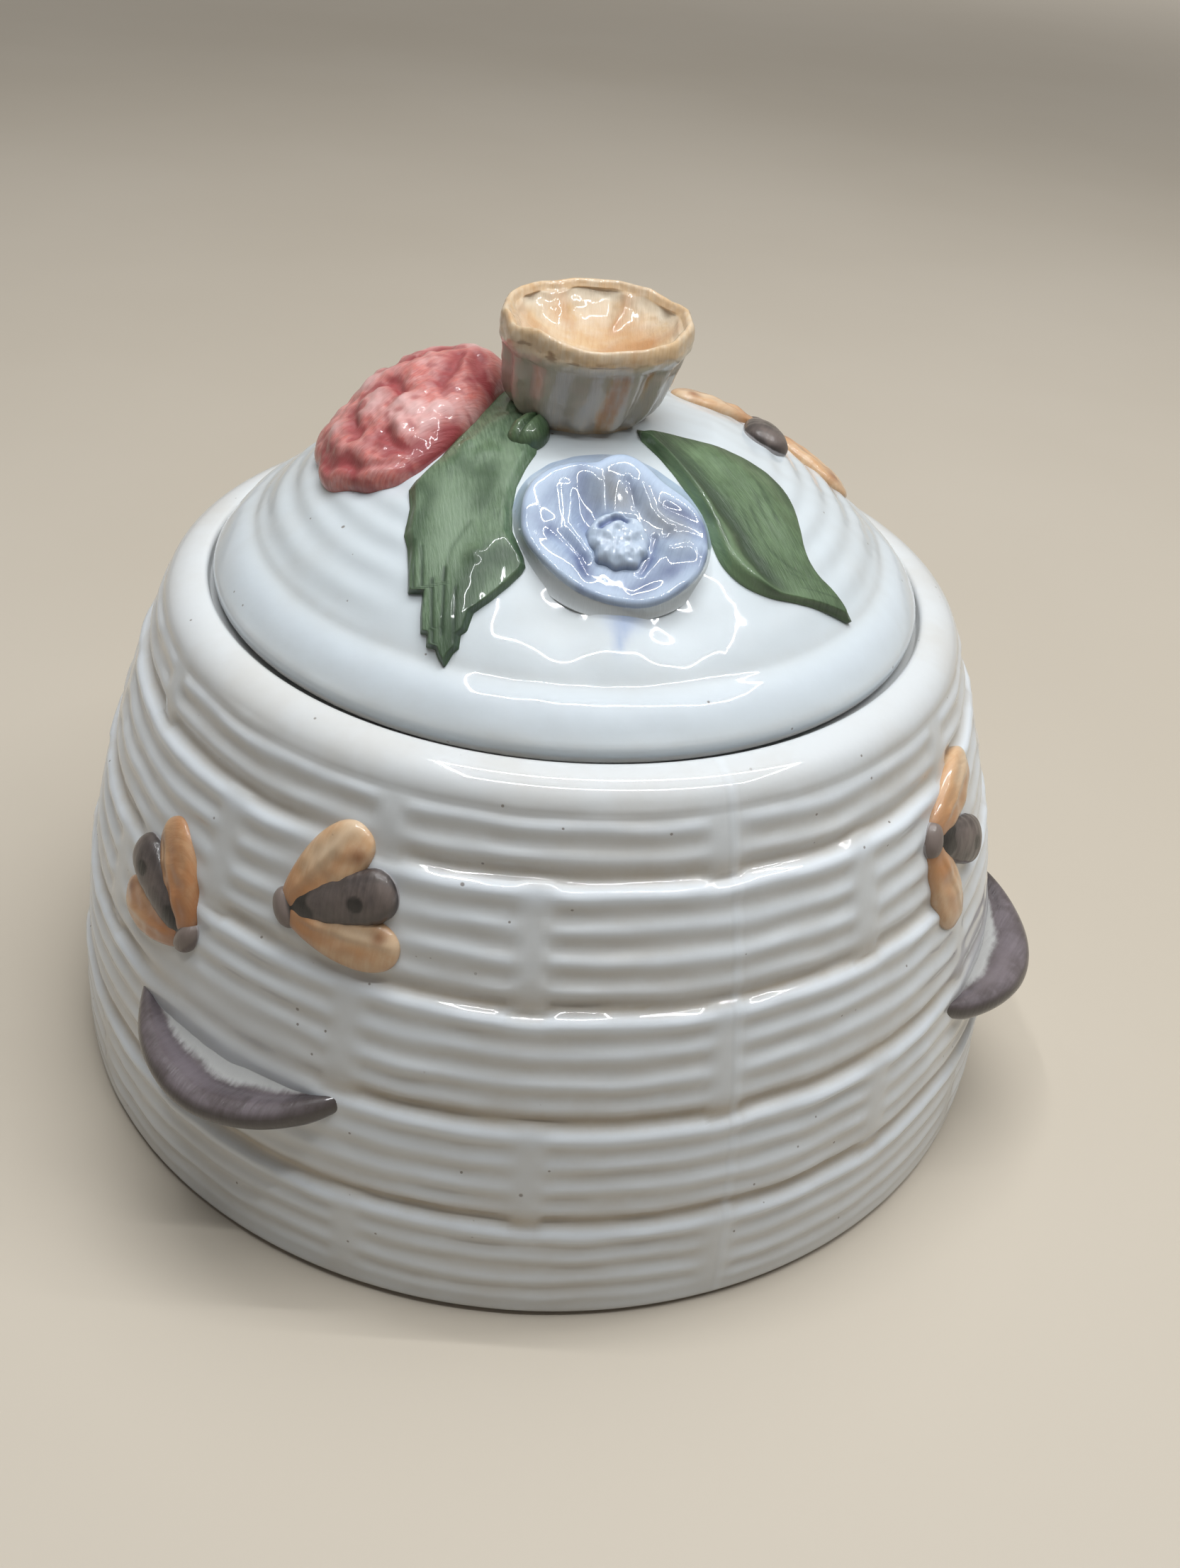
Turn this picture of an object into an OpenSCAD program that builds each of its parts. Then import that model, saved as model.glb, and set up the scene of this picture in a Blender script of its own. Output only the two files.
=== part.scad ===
// Honey pot in the form of a coiled straw beehive, with a loose lift-off lid.
// The pot and the lid are hollow glazed clay. Landing ledges, bees, leaves and flowers
// are separate pieces of clay that sit on them face to face.
// Azimuth 0 is the front of the pot, at -Y, and positive azimuths turn towards +X.

/* [Pot] */
// Diameter of the foot on the table
foot_d = 130; // [120:1:145]
// Height of the shoulder above the table
pot_h = 66.5; // [60:0.5:76]
// Width of the shoulder that shows round the lid
shoulder_w = 4.5; // [3.5:0.25:7]
// Thickness of the fired clay wall
wall_t = 4.5; // [3.5:0.25:5.5]
// Thickness of the floor
floor_t = 5; // [4:0.25:7]
// Radius of the rounded edge of the foot
foot_round = 1.6; // [1:0.1:2.5]

/* [Straw courses] */
// Height of the lowest groove above the table
first_groove_z = 15.4; // [14.5:0.1:16]
// Height of one course of straw
course_h = 13.8; // [13:0.1:14.5]
// Depth of the groove between two courses
groove_depth = 0.9; // [0.4:0.1:1.3]
// Number of ribs in one course
course_ribs = 4; // [3:1:5]
// How far a rib stands out of the wall
rib_rise = 0.3; // [0.2:0.05:0.4]

/* [Mouth] */
// Depth of the seat below the shoulder
seat_depth = 1.6; // [1:0.1:2.5]
// Width of the seat under the lid's rim
seat_w = 6; // [5:0.25:8]
// Height of the throat's upright wall
throat_h = 4; // [3:0.25:6]

/* [Lid] */
// Diameter of the lid's rim
lid_d = 89; // [84:1:94]
// Height of the dome above the rim's edge
lid_rise = 20.1; // [16:0.1:25]
// How full the dome is, from a cone at 1 to a flat top at 4
dome_power = 2.35; // [2:0.05:3]
// Thickness of the dome's wall
lid_wall_t = 4; // [3:0.25:5]
// Height of the rim's upright edge
rim_h = 2.2; // [1.6:0.1:3]
// Width of the rounded band round the rim
band_w = 5; // [3.5:0.25:7]
// How far the band swells above the dome's line
band_swell = 0.5; // [0.2:0.1:1]
// Depth of the ring that drops into the throat
ring_h = 5; // [3.5:0.25:7]
// Thickness of that ring
ring_t = 3.5; // [3:0.25:4.5]
// Clearance between the rim and the wall of its recess
rim_gap = 0.6; // [0.4:0.05:1]
// Clearance between the ring and the throat
ring_gap = 1; // [0.6:0.1:1.6]
// Clearance left by glaze between the rim and its seat
rest_gap = 0.25; // [0.2:0.05:0.4]

/* [Knob] */
// Diameter of the flared top
knob_d = 23.2; // [19:0.2:27]
// Diameter of the neck on the lid
neck_d = 14; // [11:0.25:17]
// Height of the knob above the lid
knob_h = 12.6; // [10:0.2:16]
// Depth of the hollow in the top
dish_depth = 5; // [3:0.25:7]
// Radius of the rolled lip
lip_r = 1.6; // [1.2:0.1:2]
// Number of flutes round the stalk
flutes = 13; // [9:1:16]

/* [Flowers] */
// Distance of the blue flower from the lid's axis
flower_out = 21.8; // [20.5:0.1:23]
// Radius of one round petal
petal_r = 5.4; // [5:0.1:5.8]
// Distance of the petals from the flower's middle
petal_out = 6.1; // [5.6:0.1:6.5]
// Number of petals
petals = 5; // [5:1:6]
// Thickness of clay left under the cup of the flower
cup_floor = 2.2; // [1.6:0.1:2.6]
// Distance of the rose from the lid's axis
rose_out = 21; // [20:0.1:22.5]
// Length of the rose
rose_len = 27; // [24:0.5:29]
// Width of the rose
rose_w = 21; // [19:0.5:22.5]
// How far the rose stands up from the lid
rose_h = 4.6; // [3.6:0.1:6]

/* [Leaves] */
// How far a leaf stands up from the lid
leaf_t = 1.5; // [1:0.1:2]
// Radius of the small bud beside the knob
bud_r = 2.1; // [1.6:0.1:2.4]

/* [Bees] */
// Length of a bee's body
bee_len = 14.5; // [13:0.5:16]
// Width of a bee's body
bee_w = 6.4; // [5.6:0.2:7]
// Length of a wing
wing_len = 13; // [11.5:0.5:14]
// Width of a wing
wing_w = 5.8; // [5:0.2:6.4]
// How far a wing stands up from the clay
wing_t = 1.2; // [0.8:0.1:1.8]

/* [Landing ledges] */
// Width of a ledge from tip to tip
ledge_w = 30.5; // [26:0.5:36]
// How far a ledge stands out from the wall
ledge_out = 6.8; // [5.5:0.1:8]
// Place of a ledge's lip in its course, from the groove below at 0 to the one above at 1
ledge_place = 0.66; // [0.55:0.01:0.75]
// Radius of a ledge's rounded lip
ledge_lip_r = 2.2; // [1.8:0.1:2.6]
// Height of the hollowed slope above the lip
ledge_slope_h = 6; // [4.5:0.25:7]

/* [Hidden] */
$fn = 96;

foot_r = foot_d / 2;
lid_r = lid_d / 2;
shoulder_r = lid_r + shoulder_w;
throat_r = lid_r - seat_w;
recess_r = lid_r + rim_gap;
seat_z = pot_h - seat_depth;
shoulder_round = 3.5;
rib_pitch = course_h / course_ribs;
ledge_z = first_groove_z + course_h * ledge_place;

lid_z = seat_z + rest_gap;
dome_z = lid_z + rim_h;
ring_r = throat_r - ring_gap;
dome_steps = 14;
knob_z = dome_z + lid_rise;
knob_r = knob_d / 2;
neck_r = neck_d / 2;

// Where the clay pieces sit: azimuths in degrees, heights and distances in millimetres
flower_az = 9;
rose_az = -87;
rose_turn = 137;
ledge_left_az = -34.5;
ledge_right_az = 71;
// Each bee is azimuth, height or distance out, turn of its body and spread of its wings
bee_left = [-47, pot_h * 0.617, 157, 33];
bee_front = [-22, pot_h * 0.767, 25, 31];
bee_right = [60, pot_h * 0.737, -12, 55];
bee_lid = [114, lid_r * 0.593, 8, 58];
bud_az = -38;
bud_out = neck_r + 3.4;

glaze = [0.88, 0.9, 0.9];
purple_grey = [0.35, 0.31, 0.33];
bee_grey = [0.24, 0.22, 0.22];
wing_orange = [0.85, 0.58, 0.33];
straw = [0.83, 0.66, 0.46];
rose_pink = [0.85, 0.45, 0.45];
petal_blue = [0.62, 0.7, 0.82];
leaf_green = [0.27, 0.42, 0.3];
bud_green = [0.16, 0.3, 0.2];

// Radius of the pot's wall, without its grooves, at height z
function pot_r(z) = foot_r - (foot_r - shoulder_r) * pow(z / pot_h, 2);

// Lean of the pot's wall from the upright at height z
function pot_lean(z) = atan(2 * (foot_r - shoulder_r) * z / pow(pot_h, 2));

// How far the straw stands out of the wall, at a distance above the nearest groove below.
// The top rib of each course bulges over the groove, and the lowest one leans back into it.
function straw(above) =
    rib_rise * sqrt(2) * cos(360 * (above / rib_pitch - 0.5))
    + rib_rise * exp(-pow((course_h - above) / rib_pitch * 2 - 1, 2))
    - (groove_depth - rib_rise) * exp(-pow(above / rib_pitch * 2, 2));

// Height of the lid's dome at distance r from its axis
function lid_top(r) =
    dome_z + lid_rise * (1 - pow(r / lid_r, dome_power))
    + (r > lid_r - band_w ? band_swell * sin(180 * (lid_r - r) / band_w) : 0);

// Lean of the dome from the level at distance r
function lid_lean(r) = atan(lid_rise * dome_power * pow(r / lid_r, dome_power - 1) / lid_r);

// Rounds the corners of a closed outline by cutting each one twice
function cut_corners(p) = [
    for (i = [0 : len(p) - 1])
        let (a = p[i], b = p[(i + 1) % len(p)])
        each [a * 0.75 + b * 0.25, a * 0.25 + b * 0.75]
];

// The wall's outer line from the foot to the lid's recess
function wall_line(grow) =
    let (
        shoulder_z = pot_h - shoulder_round,
        top_r = pot_r(shoulder_z),
        facets = 4 * course_ribs,
        plain = 2 * foot_round
    )
    concat(
        [[foot_r - foot_round + grow, 0], [pot_r(foot_round) + grow, foot_round]],
        [for (course = [0 : 4], i = [0 : facets])
            let (
                above = i == 0 ? 0 : (i - 0.5) / facets * course_h,
                z = first_groove_z + (course - 1) * course_h + above
            )
            if (z > plain && z < shoulder_z - rib_pitch / 8)
                [pot_r(z) + (i == 0 ? -groove_depth : straw(above)) + grow, z]],
        [for (a = [0 : 15 : 90])
            [recess_r + (top_r - recess_r) * cos(a) + grow, shoulder_z + (shoulder_round + grow / 2) * sin(a)]]
    );

// The dome's outer line from its top to the rim
function dome_line(grow) = [
    for (i = [0 : dome_steps])
        let (r = lid_r * pow(i / dome_steps, 0.75))
        [r, lid_top(r) + grow]
];

// Full solid inside the pot's outer surface, swelled by grow
module pot_form(grow) {
    rotate_extrude()
        polygon(concat([[0, 0]], wall_line(grow), [[0, pot_h + grow / 2]]));
}

// Full solid under the lid's outer surface, swelled by grow
module lid_form(grow) {
    rotate_extrude()
        polygon(concat(dome_line(grow), [[lid_r, lid_z], [0, lid_z]]));
}

// Puts a piece on the wall: x runs round the pot, y up it and z out of it
module on_pot(az, z) {
    rotate([0, 0, az])
        translate([0, -pot_r(z), z])
            rotate([90 - pot_lean(z), 0, 0])
                children();
}

// Puts a piece on the lid: x runs round the lid, y up it and z out of it
module on_lid(az, r) {
    rotate([0, 0, az])
        translate([0, -r, lid_top(r)])
            rotate([lid_lean(r), 0, 0])
                children();
}

module pot_body() {
    under_neck = 6;
    inside_round = 3;
    neck_z = seat_z - throat_h;
    high_z = neck_z - under_neck;
    low_z = floor_t + inside_round;
    inside_steps = 12;
    color(glaze)
        rotate_extrude()
            polygon(concat(
                [[0, 0]],
                wall_line(0),
                [[recess_r, seat_z], [throat_r, seat_z], [throat_r, neck_z]],
                [for (i = [inside_steps : -1 : 0])
                    let (z = low_z + (high_z - low_z) * i / inside_steps)
                    [pot_r(z) - wall_t, z]],
                [[pot_r(0) - wall_t - inside_round, floor_t], [0, floor_t]]
            ));
}

// A crescent shelf that bees land on, with a rounded lip and a hollowed slope above it
module landing_ledge(az) {
    wall_r = pot_r(ledge_z);
    tip_y = ledge_w / 2;
    tip_x = sqrt(pow(wall_r, 2) - pow(tip_y, 2));
    far_x = wall_r + ledge_out;
    centre_x = (pow(far_x, 2) - pow(tip_x, 2) - pow(tip_y, 2)) / (2 * (far_x - tip_x));
    turn_r = far_x - centre_x;
    lip_x = turn_r - ledge_lip_r;
    root_x = turn_r - ledge_out - 1.5;
    color(purple_grey)
        difference() {
            rotate([0, 0, az - 90])
                translate([centre_x, 0, ledge_z])
                    union() {
                        rotate_extrude()
                            translate([lip_x, 0])
                                circle(r = ledge_lip_r);
                        rotate_extrude()
                            polygon([
                                [0, -ledge_slope_h], [root_x, -ledge_slope_h + 1.5],
                                [lip_x, -ledge_lip_r], [lip_x, ledge_lip_r],
                                [(lip_x + root_x) / 2, ledge_lip_r + 0.6],
                                [root_x, ledge_slope_h], [0, ledge_slope_h]
                            ]);
                    }
            pot_form(0);
        }
}

// The body: a small head, then an egg that is blunt at the tail
module bee_body_form() {
    body_lift = 0.4;
    rows = 10;
    head_r = bee_w * 0.24;
    function girth(t) = bee_w / 2 * pow(t, 0.55) * sqrt(max(0, 1 - pow(t, 6)));
    translate([0, 0, body_lift]) {
        rotate([0, 90, 0])
            rotate_extrude($fn = 48)
                polygon([for (i = [0 : rows]) [girth(i / rows), bee_len * (i / rows - 0.5)]]);
        translate([-bee_len / 2 + head_r / 2, 0, 0])
            sphere(r = head_r, $fn = 48);
    }
}

// Two wing outlines that fan out from the head end
module bee_wing_outlines(spread) {
    function wing_point(a) = [
        wing_len * (1 - cos(a)) / 2,
        wing_w / 2 * sin(a) * (1.25 - 0.35 * cos(a)) / 1.25
    ];
    translate([-bee_len * 0.34, 0, 0])
        for (side = [-1, 1])
            rotate([0, 0, side * spread])
                polygon([for (a = [0 : 15 : 345]) wing_point(a)]);
}

module pot_bee_body(bee) {
    color(bee_grey)
        difference() {
            on_pot(bee[0], bee[1])
                rotate([0, 0, bee[2]])
                    bee_body_form();
            pot_form(0);
        }
}

module pot_bee_wings(bee) {
    color(wing_orange)
        difference() {
            intersection() {
                on_pot(bee[0], bee[1])
                    rotate([0, 0, bee[2]])
                        translate([0, 0, -bee_w])
                            linear_extrude(2 * bee_w)
                                bee_wing_outlines(bee[3]);
                pot_form(wing_t);
            }
            pot_form(0);
            on_pot(bee[0], bee[1])
                rotate([0, 0, bee[2]])
                    bee_body_form();
        }
}

module bee_lid_body() {
    color(bee_grey)
        difference() {
            on_lid(bee_lid[0], bee_lid[1])
                rotate([0, 0, bee_lid[2]])
                    bee_body_form();
            lid_form(0);
        }
}

module bee_lid_wings() {
    color(wing_orange)
        difference() {
            intersection() {
                on_lid(bee_lid[0], bee_lid[1])
                    rotate([0, 0, bee_lid[2]])
                        translate([0, 0, -bee_w])
                            linear_extrude(2 * bee_w)
                                bee_wing_outlines(bee_lid[3]);
                lid_form(wing_t);
            }
            lid_form(0);
            on_lid(bee_lid[0], bee_lid[1])
                rotate([0, 0, bee_lid[2]])
                    bee_body_form();
        }
}

module lid_shell() {
    edge = 1.2;
    inner_r = ring_r - ring_t;
    inside_steps = 10;
    color(glaze)
        rotate_extrude()
            polygon(concat(
                dome_line(0),
                [[lid_r - edge / 4, lid_z + edge / 3], [lid_r - edge, lid_z]],
                [[ring_r, lid_z], [ring_r, lid_z - ring_h], [inner_r, lid_z - ring_h]],
                [for (i = [inside_steps : -1 : 0])
                    let (r = inner_r * i / inside_steps)
                    [r, lid_top(r) - lid_wall_t]]
            ));
}

// The knob before it is fitted to the dome: a flared stalk with a rolled lip and a dish
module knob_form() {
    flare_steps = 8;
    lip_x = knob_r - lip_r;
    top_z = knob_z + knob_h;
    lip_z = top_z - lip_r;
    sunk_z = knob_z - 3;
    rotate_extrude()
        polygon(concat(
            [[0, sunk_z], [neck_r, sunk_z]],
            [for (i = [0 : flare_steps])
                let (t = i / flare_steps)
                [neck_r + (knob_r - neck_r) * pow(t, 0.6), knob_z + (lip_z - knob_z) * t]],
            [for (a = [20 : 20 : 140]) [lip_x + lip_r * cos(a), lip_z + lip_r * sin(a)]],
            [for (t = [0.25 : 0.25 : 1])
                [(lip_x - lip_r) * (1 - t), top_z - lip_r - (dish_depth - lip_r) * sin(90 * t)]]
        ));
}

module lid_knob() {
    flute_r = 0.7;
    lean = atan((knob_r - neck_r) / (knob_h - lip_r));
    color(straw)
        difference() {
            knob_form();
            for (i = [0 : flutes - 1])
                rotate([0, 0, i * 360 / flutes])
                    translate([neck_r + 1.4, 0, knob_z])
                        rotate([0, lean * 0.75, 0])
                            cylinder(r = flute_r, h = knob_h - 2 * lip_r - 1, $fn = 24);
            lid_form(0);
        }
}

// The flower before it is fitted to the dome: round petals hollowed to a shallow cup
module flower_form() {
    cup_r = 13;
    petal_lift = 0.6;
    pad_r = petal_out - 1.1;
    on_lid(flower_az, flower_out)
        difference() {
            union() {
                for (i = [0 : petals - 1])
                    rotate([0, 0, 90 + i * 360 / petals])
                        translate([petal_out, 0, petal_lift])
                            sphere(r = petal_r, $fn = 64);
                translate([0, 0, -petal_r * 0.6])
                    cylinder(r = pad_r, h = petal_r * 0.6 + cup_floor + 0.5);
            }
            translate([0, 0, cup_r + cup_floor])
                sphere(r = cup_r);
        }
}

module blue_flower_petals() {
    color(petal_blue)
        difference() {
            flower_form();
            lid_form(0);
        }
}

module blue_flower_centre() {
    button_r = 3.2;
    bump_r = 1.15;
    bumps = 6;
    color(petal_blue)
        difference() {
            on_lid(flower_az, flower_out)
                translate([0, 0, cup_floor])
                    union() {
                        translate([0, 0, 0.6])
                            sphere(r = button_r, $fn = 64);
                        for (i = [0 : bumps - 1])
                            rotate([0, 0, i * 360 / bumps])
                                translate([button_r * 0.78, 0, button_r * 0.62])
                                    sphere(r = bump_r, $fn = 32);
                    }
            flower_form();
        }
}

// The rose before it is fitted to the dome: rings of rounded petal folds on an oval
module rose_form() {
    fold_r = [4.4, 3.9, 2.8];
    folds = [7, 4, 1];
    on_lid(rose_az, rose_out)
        rotate([0, 0, rose_turn])
            union() {
                for (ring = [0 : 2], i = [0 : folds[ring] - 1])
                    let (
                        a = (i + ring / 3) * 360 / folds[ring],
                        reach = (2 - ring) / 2
                    )
                    translate([
                        (rose_len / 2 - fold_r[0]) * reach * cos(a),
                        (rose_w / 2 - fold_r[0]) * reach * sin(a),
                        rose_h - fold_r[ring] - (2 - ring) * 0.5
                    ])
                        sphere(r = fold_r[ring], $fn = 48);
                translate([0, 0, -2])
                    cylinder(r = rose_w / 2 - fold_r[0], h = rose_h - 0.6);
            }
}

module pink_rose() {
    color(rose_pink)
        difference() {
            rose_form();
            lid_form(0);
            knob_form();
        }
}

// A leaf seen from above, as a slab that follows the dome
module leaf(outline) {
    difference() {
        intersection() {
            translate([0, 0, lid_z])
                linear_extrude(lid_rise + 2 * rim_h + leaf_t)
                    polygon(cut_corners(outline));
            lid_form(leaf_t);
        }
        lid_form(0);
        knob_form();
        flower_form();
        rose_form();
    }
}

module leaf_left() {
    color(leaf_green)
        difference() {
            leaf([
                [-6, 2], [-11, 0], [-19, -12], [-19.5, -20], [-19, -28], [-17.5, -28.5], [-17, -33],
                [-15.2, -33.5], [-13.8, -36.5], [-12.3, -33.5], [-11.8, -31], [-5, -27.5], [-6, -22], [-3, -8]
            ]);
            bud_form();
        }
}

module leaf_right() {
    color(leaf_green)
        leaf([
            [6, -3], [13, -2.5], [20, -4], [25.5, -9], [28.5, -16], [32.6, -20.5], [27, -22],
            [21, -24], [16.5, -22.5], [12, -15], [6, -7]
        ]);
}

module bud_form() {
    on_lid(bud_az, bud_out)
        translate([0, 0, leaf_t])
            sphere(r = bud_r, $fn = 48);
}

module leaf_bud() {
    color(bud_green)
        difference() {
            bud_form();
            lid_form(0);
            knob_form();
            flower_form();
        }
}

pot_body();
landing_ledge(ledge_left_az);  // landing_ledge_left
landing_ledge(ledge_right_az);  // landing_ledge_right
pot_bee_body(bee_left);  // bee_left_body
pot_bee_wings(bee_left);  // bee_left_wings
pot_bee_body(bee_front);  // bee_front_body
pot_bee_wings(bee_front);  // bee_front_wings
pot_bee_body(bee_right);  // bee_right_body
pot_bee_wings(bee_right);  // bee_right_wings
lid_shell();
lid_knob();
pink_rose();
blue_flower_petals();
blue_flower_centre();
leaf_left();
leaf_right();
leaf_bud();
bee_lid_body();
bee_lid_wings();
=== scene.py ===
from math import atan, atan2, copysign, cos, degrees, exp, floor, hypot, pi, radians, sin, sqrt

import bmesh
import bpy
from mathutils import Matrix, Vector, noise


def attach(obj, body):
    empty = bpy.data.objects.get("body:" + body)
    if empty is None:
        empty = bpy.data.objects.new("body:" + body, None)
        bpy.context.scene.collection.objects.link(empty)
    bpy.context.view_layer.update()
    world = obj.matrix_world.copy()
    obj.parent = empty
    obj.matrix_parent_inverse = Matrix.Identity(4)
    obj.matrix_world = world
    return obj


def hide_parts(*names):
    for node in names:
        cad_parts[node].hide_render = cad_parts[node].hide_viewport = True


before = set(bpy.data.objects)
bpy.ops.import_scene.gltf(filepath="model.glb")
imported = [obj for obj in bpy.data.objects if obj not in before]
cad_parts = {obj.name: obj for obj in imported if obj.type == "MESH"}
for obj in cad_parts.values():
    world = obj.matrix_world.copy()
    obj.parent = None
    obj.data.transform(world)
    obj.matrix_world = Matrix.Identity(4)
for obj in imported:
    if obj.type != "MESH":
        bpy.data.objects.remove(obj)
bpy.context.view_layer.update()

# THE POT
# A hollow earthenware pot shaped like a straw bee skep, slip-cast in a two-part mould. Five coiled
# courses of straw run round it, each with four soft ribs and flat upright binders. The white glaze
# is thin on the ribs and collects, slightly brown, in the grooves. Sizes are in millimetres.

MM = 0.001
FOOT_R, SHOULDER_R, POT_H = 65.0, 49.0, 66.5
WALL, FLOOR = 4.5, 5.0
SEAT_Z, THROAT_R, NECK_Z, RECESS_R = 64.9, 38.5, 60.9, 45.1
SHOULDER_Z = 63.0
RIB, COURSE, FIRST_GROOVE = 3.45, 13.8, 15.4
RIB_H, BINDER_H, SWELL_H, GROOVE_D = 0.26, 0.14, 0.2, 0.62
BINDER_STEP = 40.0
SEAM_AZ = 22.5
ROUND_STEPS = 360

# Where the bees sit on the wall: azimuth, height, turn of the body, spread of the wings
BEES = {"bee_left": (-47.8, 40.2, 154, 32), "bee_front": (-22.8, 50.2, 26, 29),
        "bee_right": (60.5, 47.9, -27, 46)}
LEDGES = {"ledge_left": -34.1, "ledge_right": 71.9}
LEDGE_Z = 24.5


def ease(low, high, x):
    """0 below low, 1 above high and a smooth rise between."""
    t = min(max((x - low) / (high - low), 0.0), 1.0)
    return t * t * (3 - 2 * t)


def bell(x, width):
    return exp(-((x / width) ** 2))


def wander(x, y, z, size=1.0):
    """Smooth unevenness between -1 and 1, that repeats in about size millimetres."""
    return noise.noise(Vector((x, y, z)) / size)


def wall_r(z):
    return FOOT_R - (FOOT_R - SHOULDER_R) * (z / POT_H) ** 2


def wall_lean(z):
    return atan(2 * (FOOT_R - SHOULDER_R) * z / POT_H**2)


def on_wall(az, z, x, y, h):
    """A point x round the wall and y up it from azimuth az and height z, and h out of it."""
    up = z + y * cos(wall_lean(z))
    around = radians(az) + x / wall_r(up)
    lean = wall_lean(up)
    out = wall_r(up) + h * cos(lean)
    return Vector((out * sin(around), -out * cos(around), up + h * sin(lean)))


def binder(az, z, course):
    """1 on a flat binder of this course, 0 beside it. Binders lie like bricks, course by course."""
    first = 21 if course % 2 else 1
    first += 3 * wander(course * 3.1, floor((az - first + 20) / BINDER_STEP) * 1.7, 0.5)
    off = ((az - first + BINDER_STEP / 2) % BINDER_STEP - BINDER_STEP / 2) * radians(1) * wall_r(z)
    return 1 - ease(1.3, 2.5, abs(off))


def straw(p):
    """Relief of the straw at a point of the wall, then how far glaze pools there and how thin it is."""
    az = degrees(atan2(p.x, -p.y))
    z = p.z + 0.3 * noise.noise(p / 16)
    groove = min(max(round((z - FIRST_GROOVE) / COURSE), 0), 3)
    groove_z = FIRST_GROOVE + groove * COURSE - 0.6 * binder(az, z, groove)
    above = z - groove_z
    course = groove if above > 0 else groove - 1
    below_top = FIRST_GROOVE + (course + 1) * COURSE - z
    tie = binder(az, z, course)
    calm = 1.0
    for bee_az, bee_z, _, _ in BEES.values():
        gap = hypot((az - bee_az) * radians(1) * wall_r(z), z - bee_z)
        calm *= 1 - 0.75 * exp(-((gap / 9.5) ** 6))
    for ledge_az in LEDGES.values():
        gap = hypot((az - ledge_az) * radians(1) * wall_r(z) / 1.9, z - LEDGE_Z - 2)
        calm *= 1 - 0.8 * exp(-((gap / 9) ** 6))
    edge = ease(1.5, 5, z) * (1 - ease(61.5, 64, z))
    strength = (0.8, 0.85, 0.95, 1.0, 1.0)[course + 1]
    strength *= 1 + 0.35 * wander(p.x / 20, p.y / 20, course * 5.0)
    wave = cos(2 * pi * (below_top - 1.75 + 0.4 * noise.noise(p / 8)) / RIB)
    rib = RIB_H * strength * (1 + 0.5 * noise.noise(p / 5)) * wave * (1 - tie) + BINDER_H * tie
    bulge = SWELL_H * bell(-above - 1.7, 1.35) if course < 3 else 0.0
    cut = GROOVE_D * bell(above, 1.9 if above > 0 else 0.85)
    height = (rib + bulge - cut) * calm * edge
    uneven = 0.06 * noise.noise(p / 2.1) + 0.12 * noise.noise(p / 7) + 0.2 * noise.noise(p / 25)
    height += uneven * ease(0, 3, z)
    height -= 0.09 * (1 - ease(15, 30, z)) * ease(0, 3, z)
    pool = bell(above - 0.6, 1.2) * (0.85 if course < 2 else 0.5) + 0.2 * max(0.0, -wave) * (1 - tie)
    thin_and_highlight = max(0.0, wave) * (1 - tie) * 0.6 + (bell(-above - 1.6, 1.2) if course < 3 else 0.0)
    return height, pool * calm * edge, thin_and_highlight * calm * edge


def revolve(profile, steps):
    """Spins an open line of (radius, height) points once round the axis into a closed skin."""
    bm = bmesh.new()
    line = [bm.verts.new((r, 0, z)) for r, z in profile]
    for a, b in zip(line, line[1:]):
        bm.edges.new((a, b))
    bmesh.ops.spin(bm, geom=bm.verts[:] + bm.edges[:], cent=(0, 0, 0), axis=(0, 0, 1),
                   angle=2 * pi, steps=steps, use_merge=True)
    bmesh.ops.remove_doubles(bm, verts=bm.verts[:], dist=0.001)
    return bm


# Marks on each piece: glaze pooling (on the right leaf also painted shade), glaze running thin (on the ledges
# and the right leaf also painted highlights), paint cover, and dark colour (on the knob also a painted
# shadow)
MARKS = ("pool", "thin_and_highlight", "paint", "dark")


def mark_layers(bm):
    return {name: bm.verts.layers.float.new(name) for name in MARKS}


def fire(bm, name, material):
    """The finished clay piece: right side out, scaled from millimetres, smooth, and in the scene."""
    bmesh.ops.recalc_face_normals(bm, faces=bm.faces[:])
    bmesh.ops.scale(bm, vec=(MM, MM, MM), verts=bm.verts[:])
    mesh = bpy.data.meshes.new(name)
    bm.to_mesh(mesh)
    bm.free()
    mesh.shade_smooth()
    mesh.materials.append(material)
    piece = bpy.data.objects.new(name, mesh)
    bpy.context.scene.collection.objects.link(piece)
    return piece


# Small words for building node trees: a node, a place, a cloud, a sum, a colour mix and a remapped range

def add(tree, kind, sockets=None, **settings):
    made = tree.nodes.new("ShaderNode" + kind)
    for key, value in settings.items():
        setattr(made, key, value)
    for key, value in (sockets or {}).items():
        if isinstance(value, bpy.types.NodeSocket):
            tree.links.new(value, made.inputs[key])
        else:
            made.inputs[key].default_value = value
    return made


def here(tree):
    return add(tree, "TexCoord").outputs["Object"]


def cloudy(tree, where, scale, detail, rough=0.5, bent=0.0):
    return add(tree, "TexNoise", {"Vector": where, "Scale": scale, "Detail": detail, "Roughness": rough,
                                  "Distortion": bent}).outputs["Fac"]


def calc(tree, operation, a, b=0.0, clamp=False):
    return add(tree, "Math", {0: a, 1: b}, operation=operation, use_clamp=clamp).outputs[0]


def tint(tree, share, a, b):
    return add(tree, "Mix", {0: share, 6: a, 7: b}, data_type="RGBA").outputs[2]


def wash(tree, colour, mask, strength, other):
    """Colour with some of another laid over it where the mask is 1."""
    return tint(tree, calc(tree, "MULTIPLY", mask, strength), colour, other)


def remap(tree, value, low, high, start=0.0, end=1.0):
    return add(tree, "MapRange", {"Value": value, "From Min": low, "From Max": high, "To Min": start,
                                  "To Max": end}, interpolation_type="SMOOTHSTEP").outputs["Result"]


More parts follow.
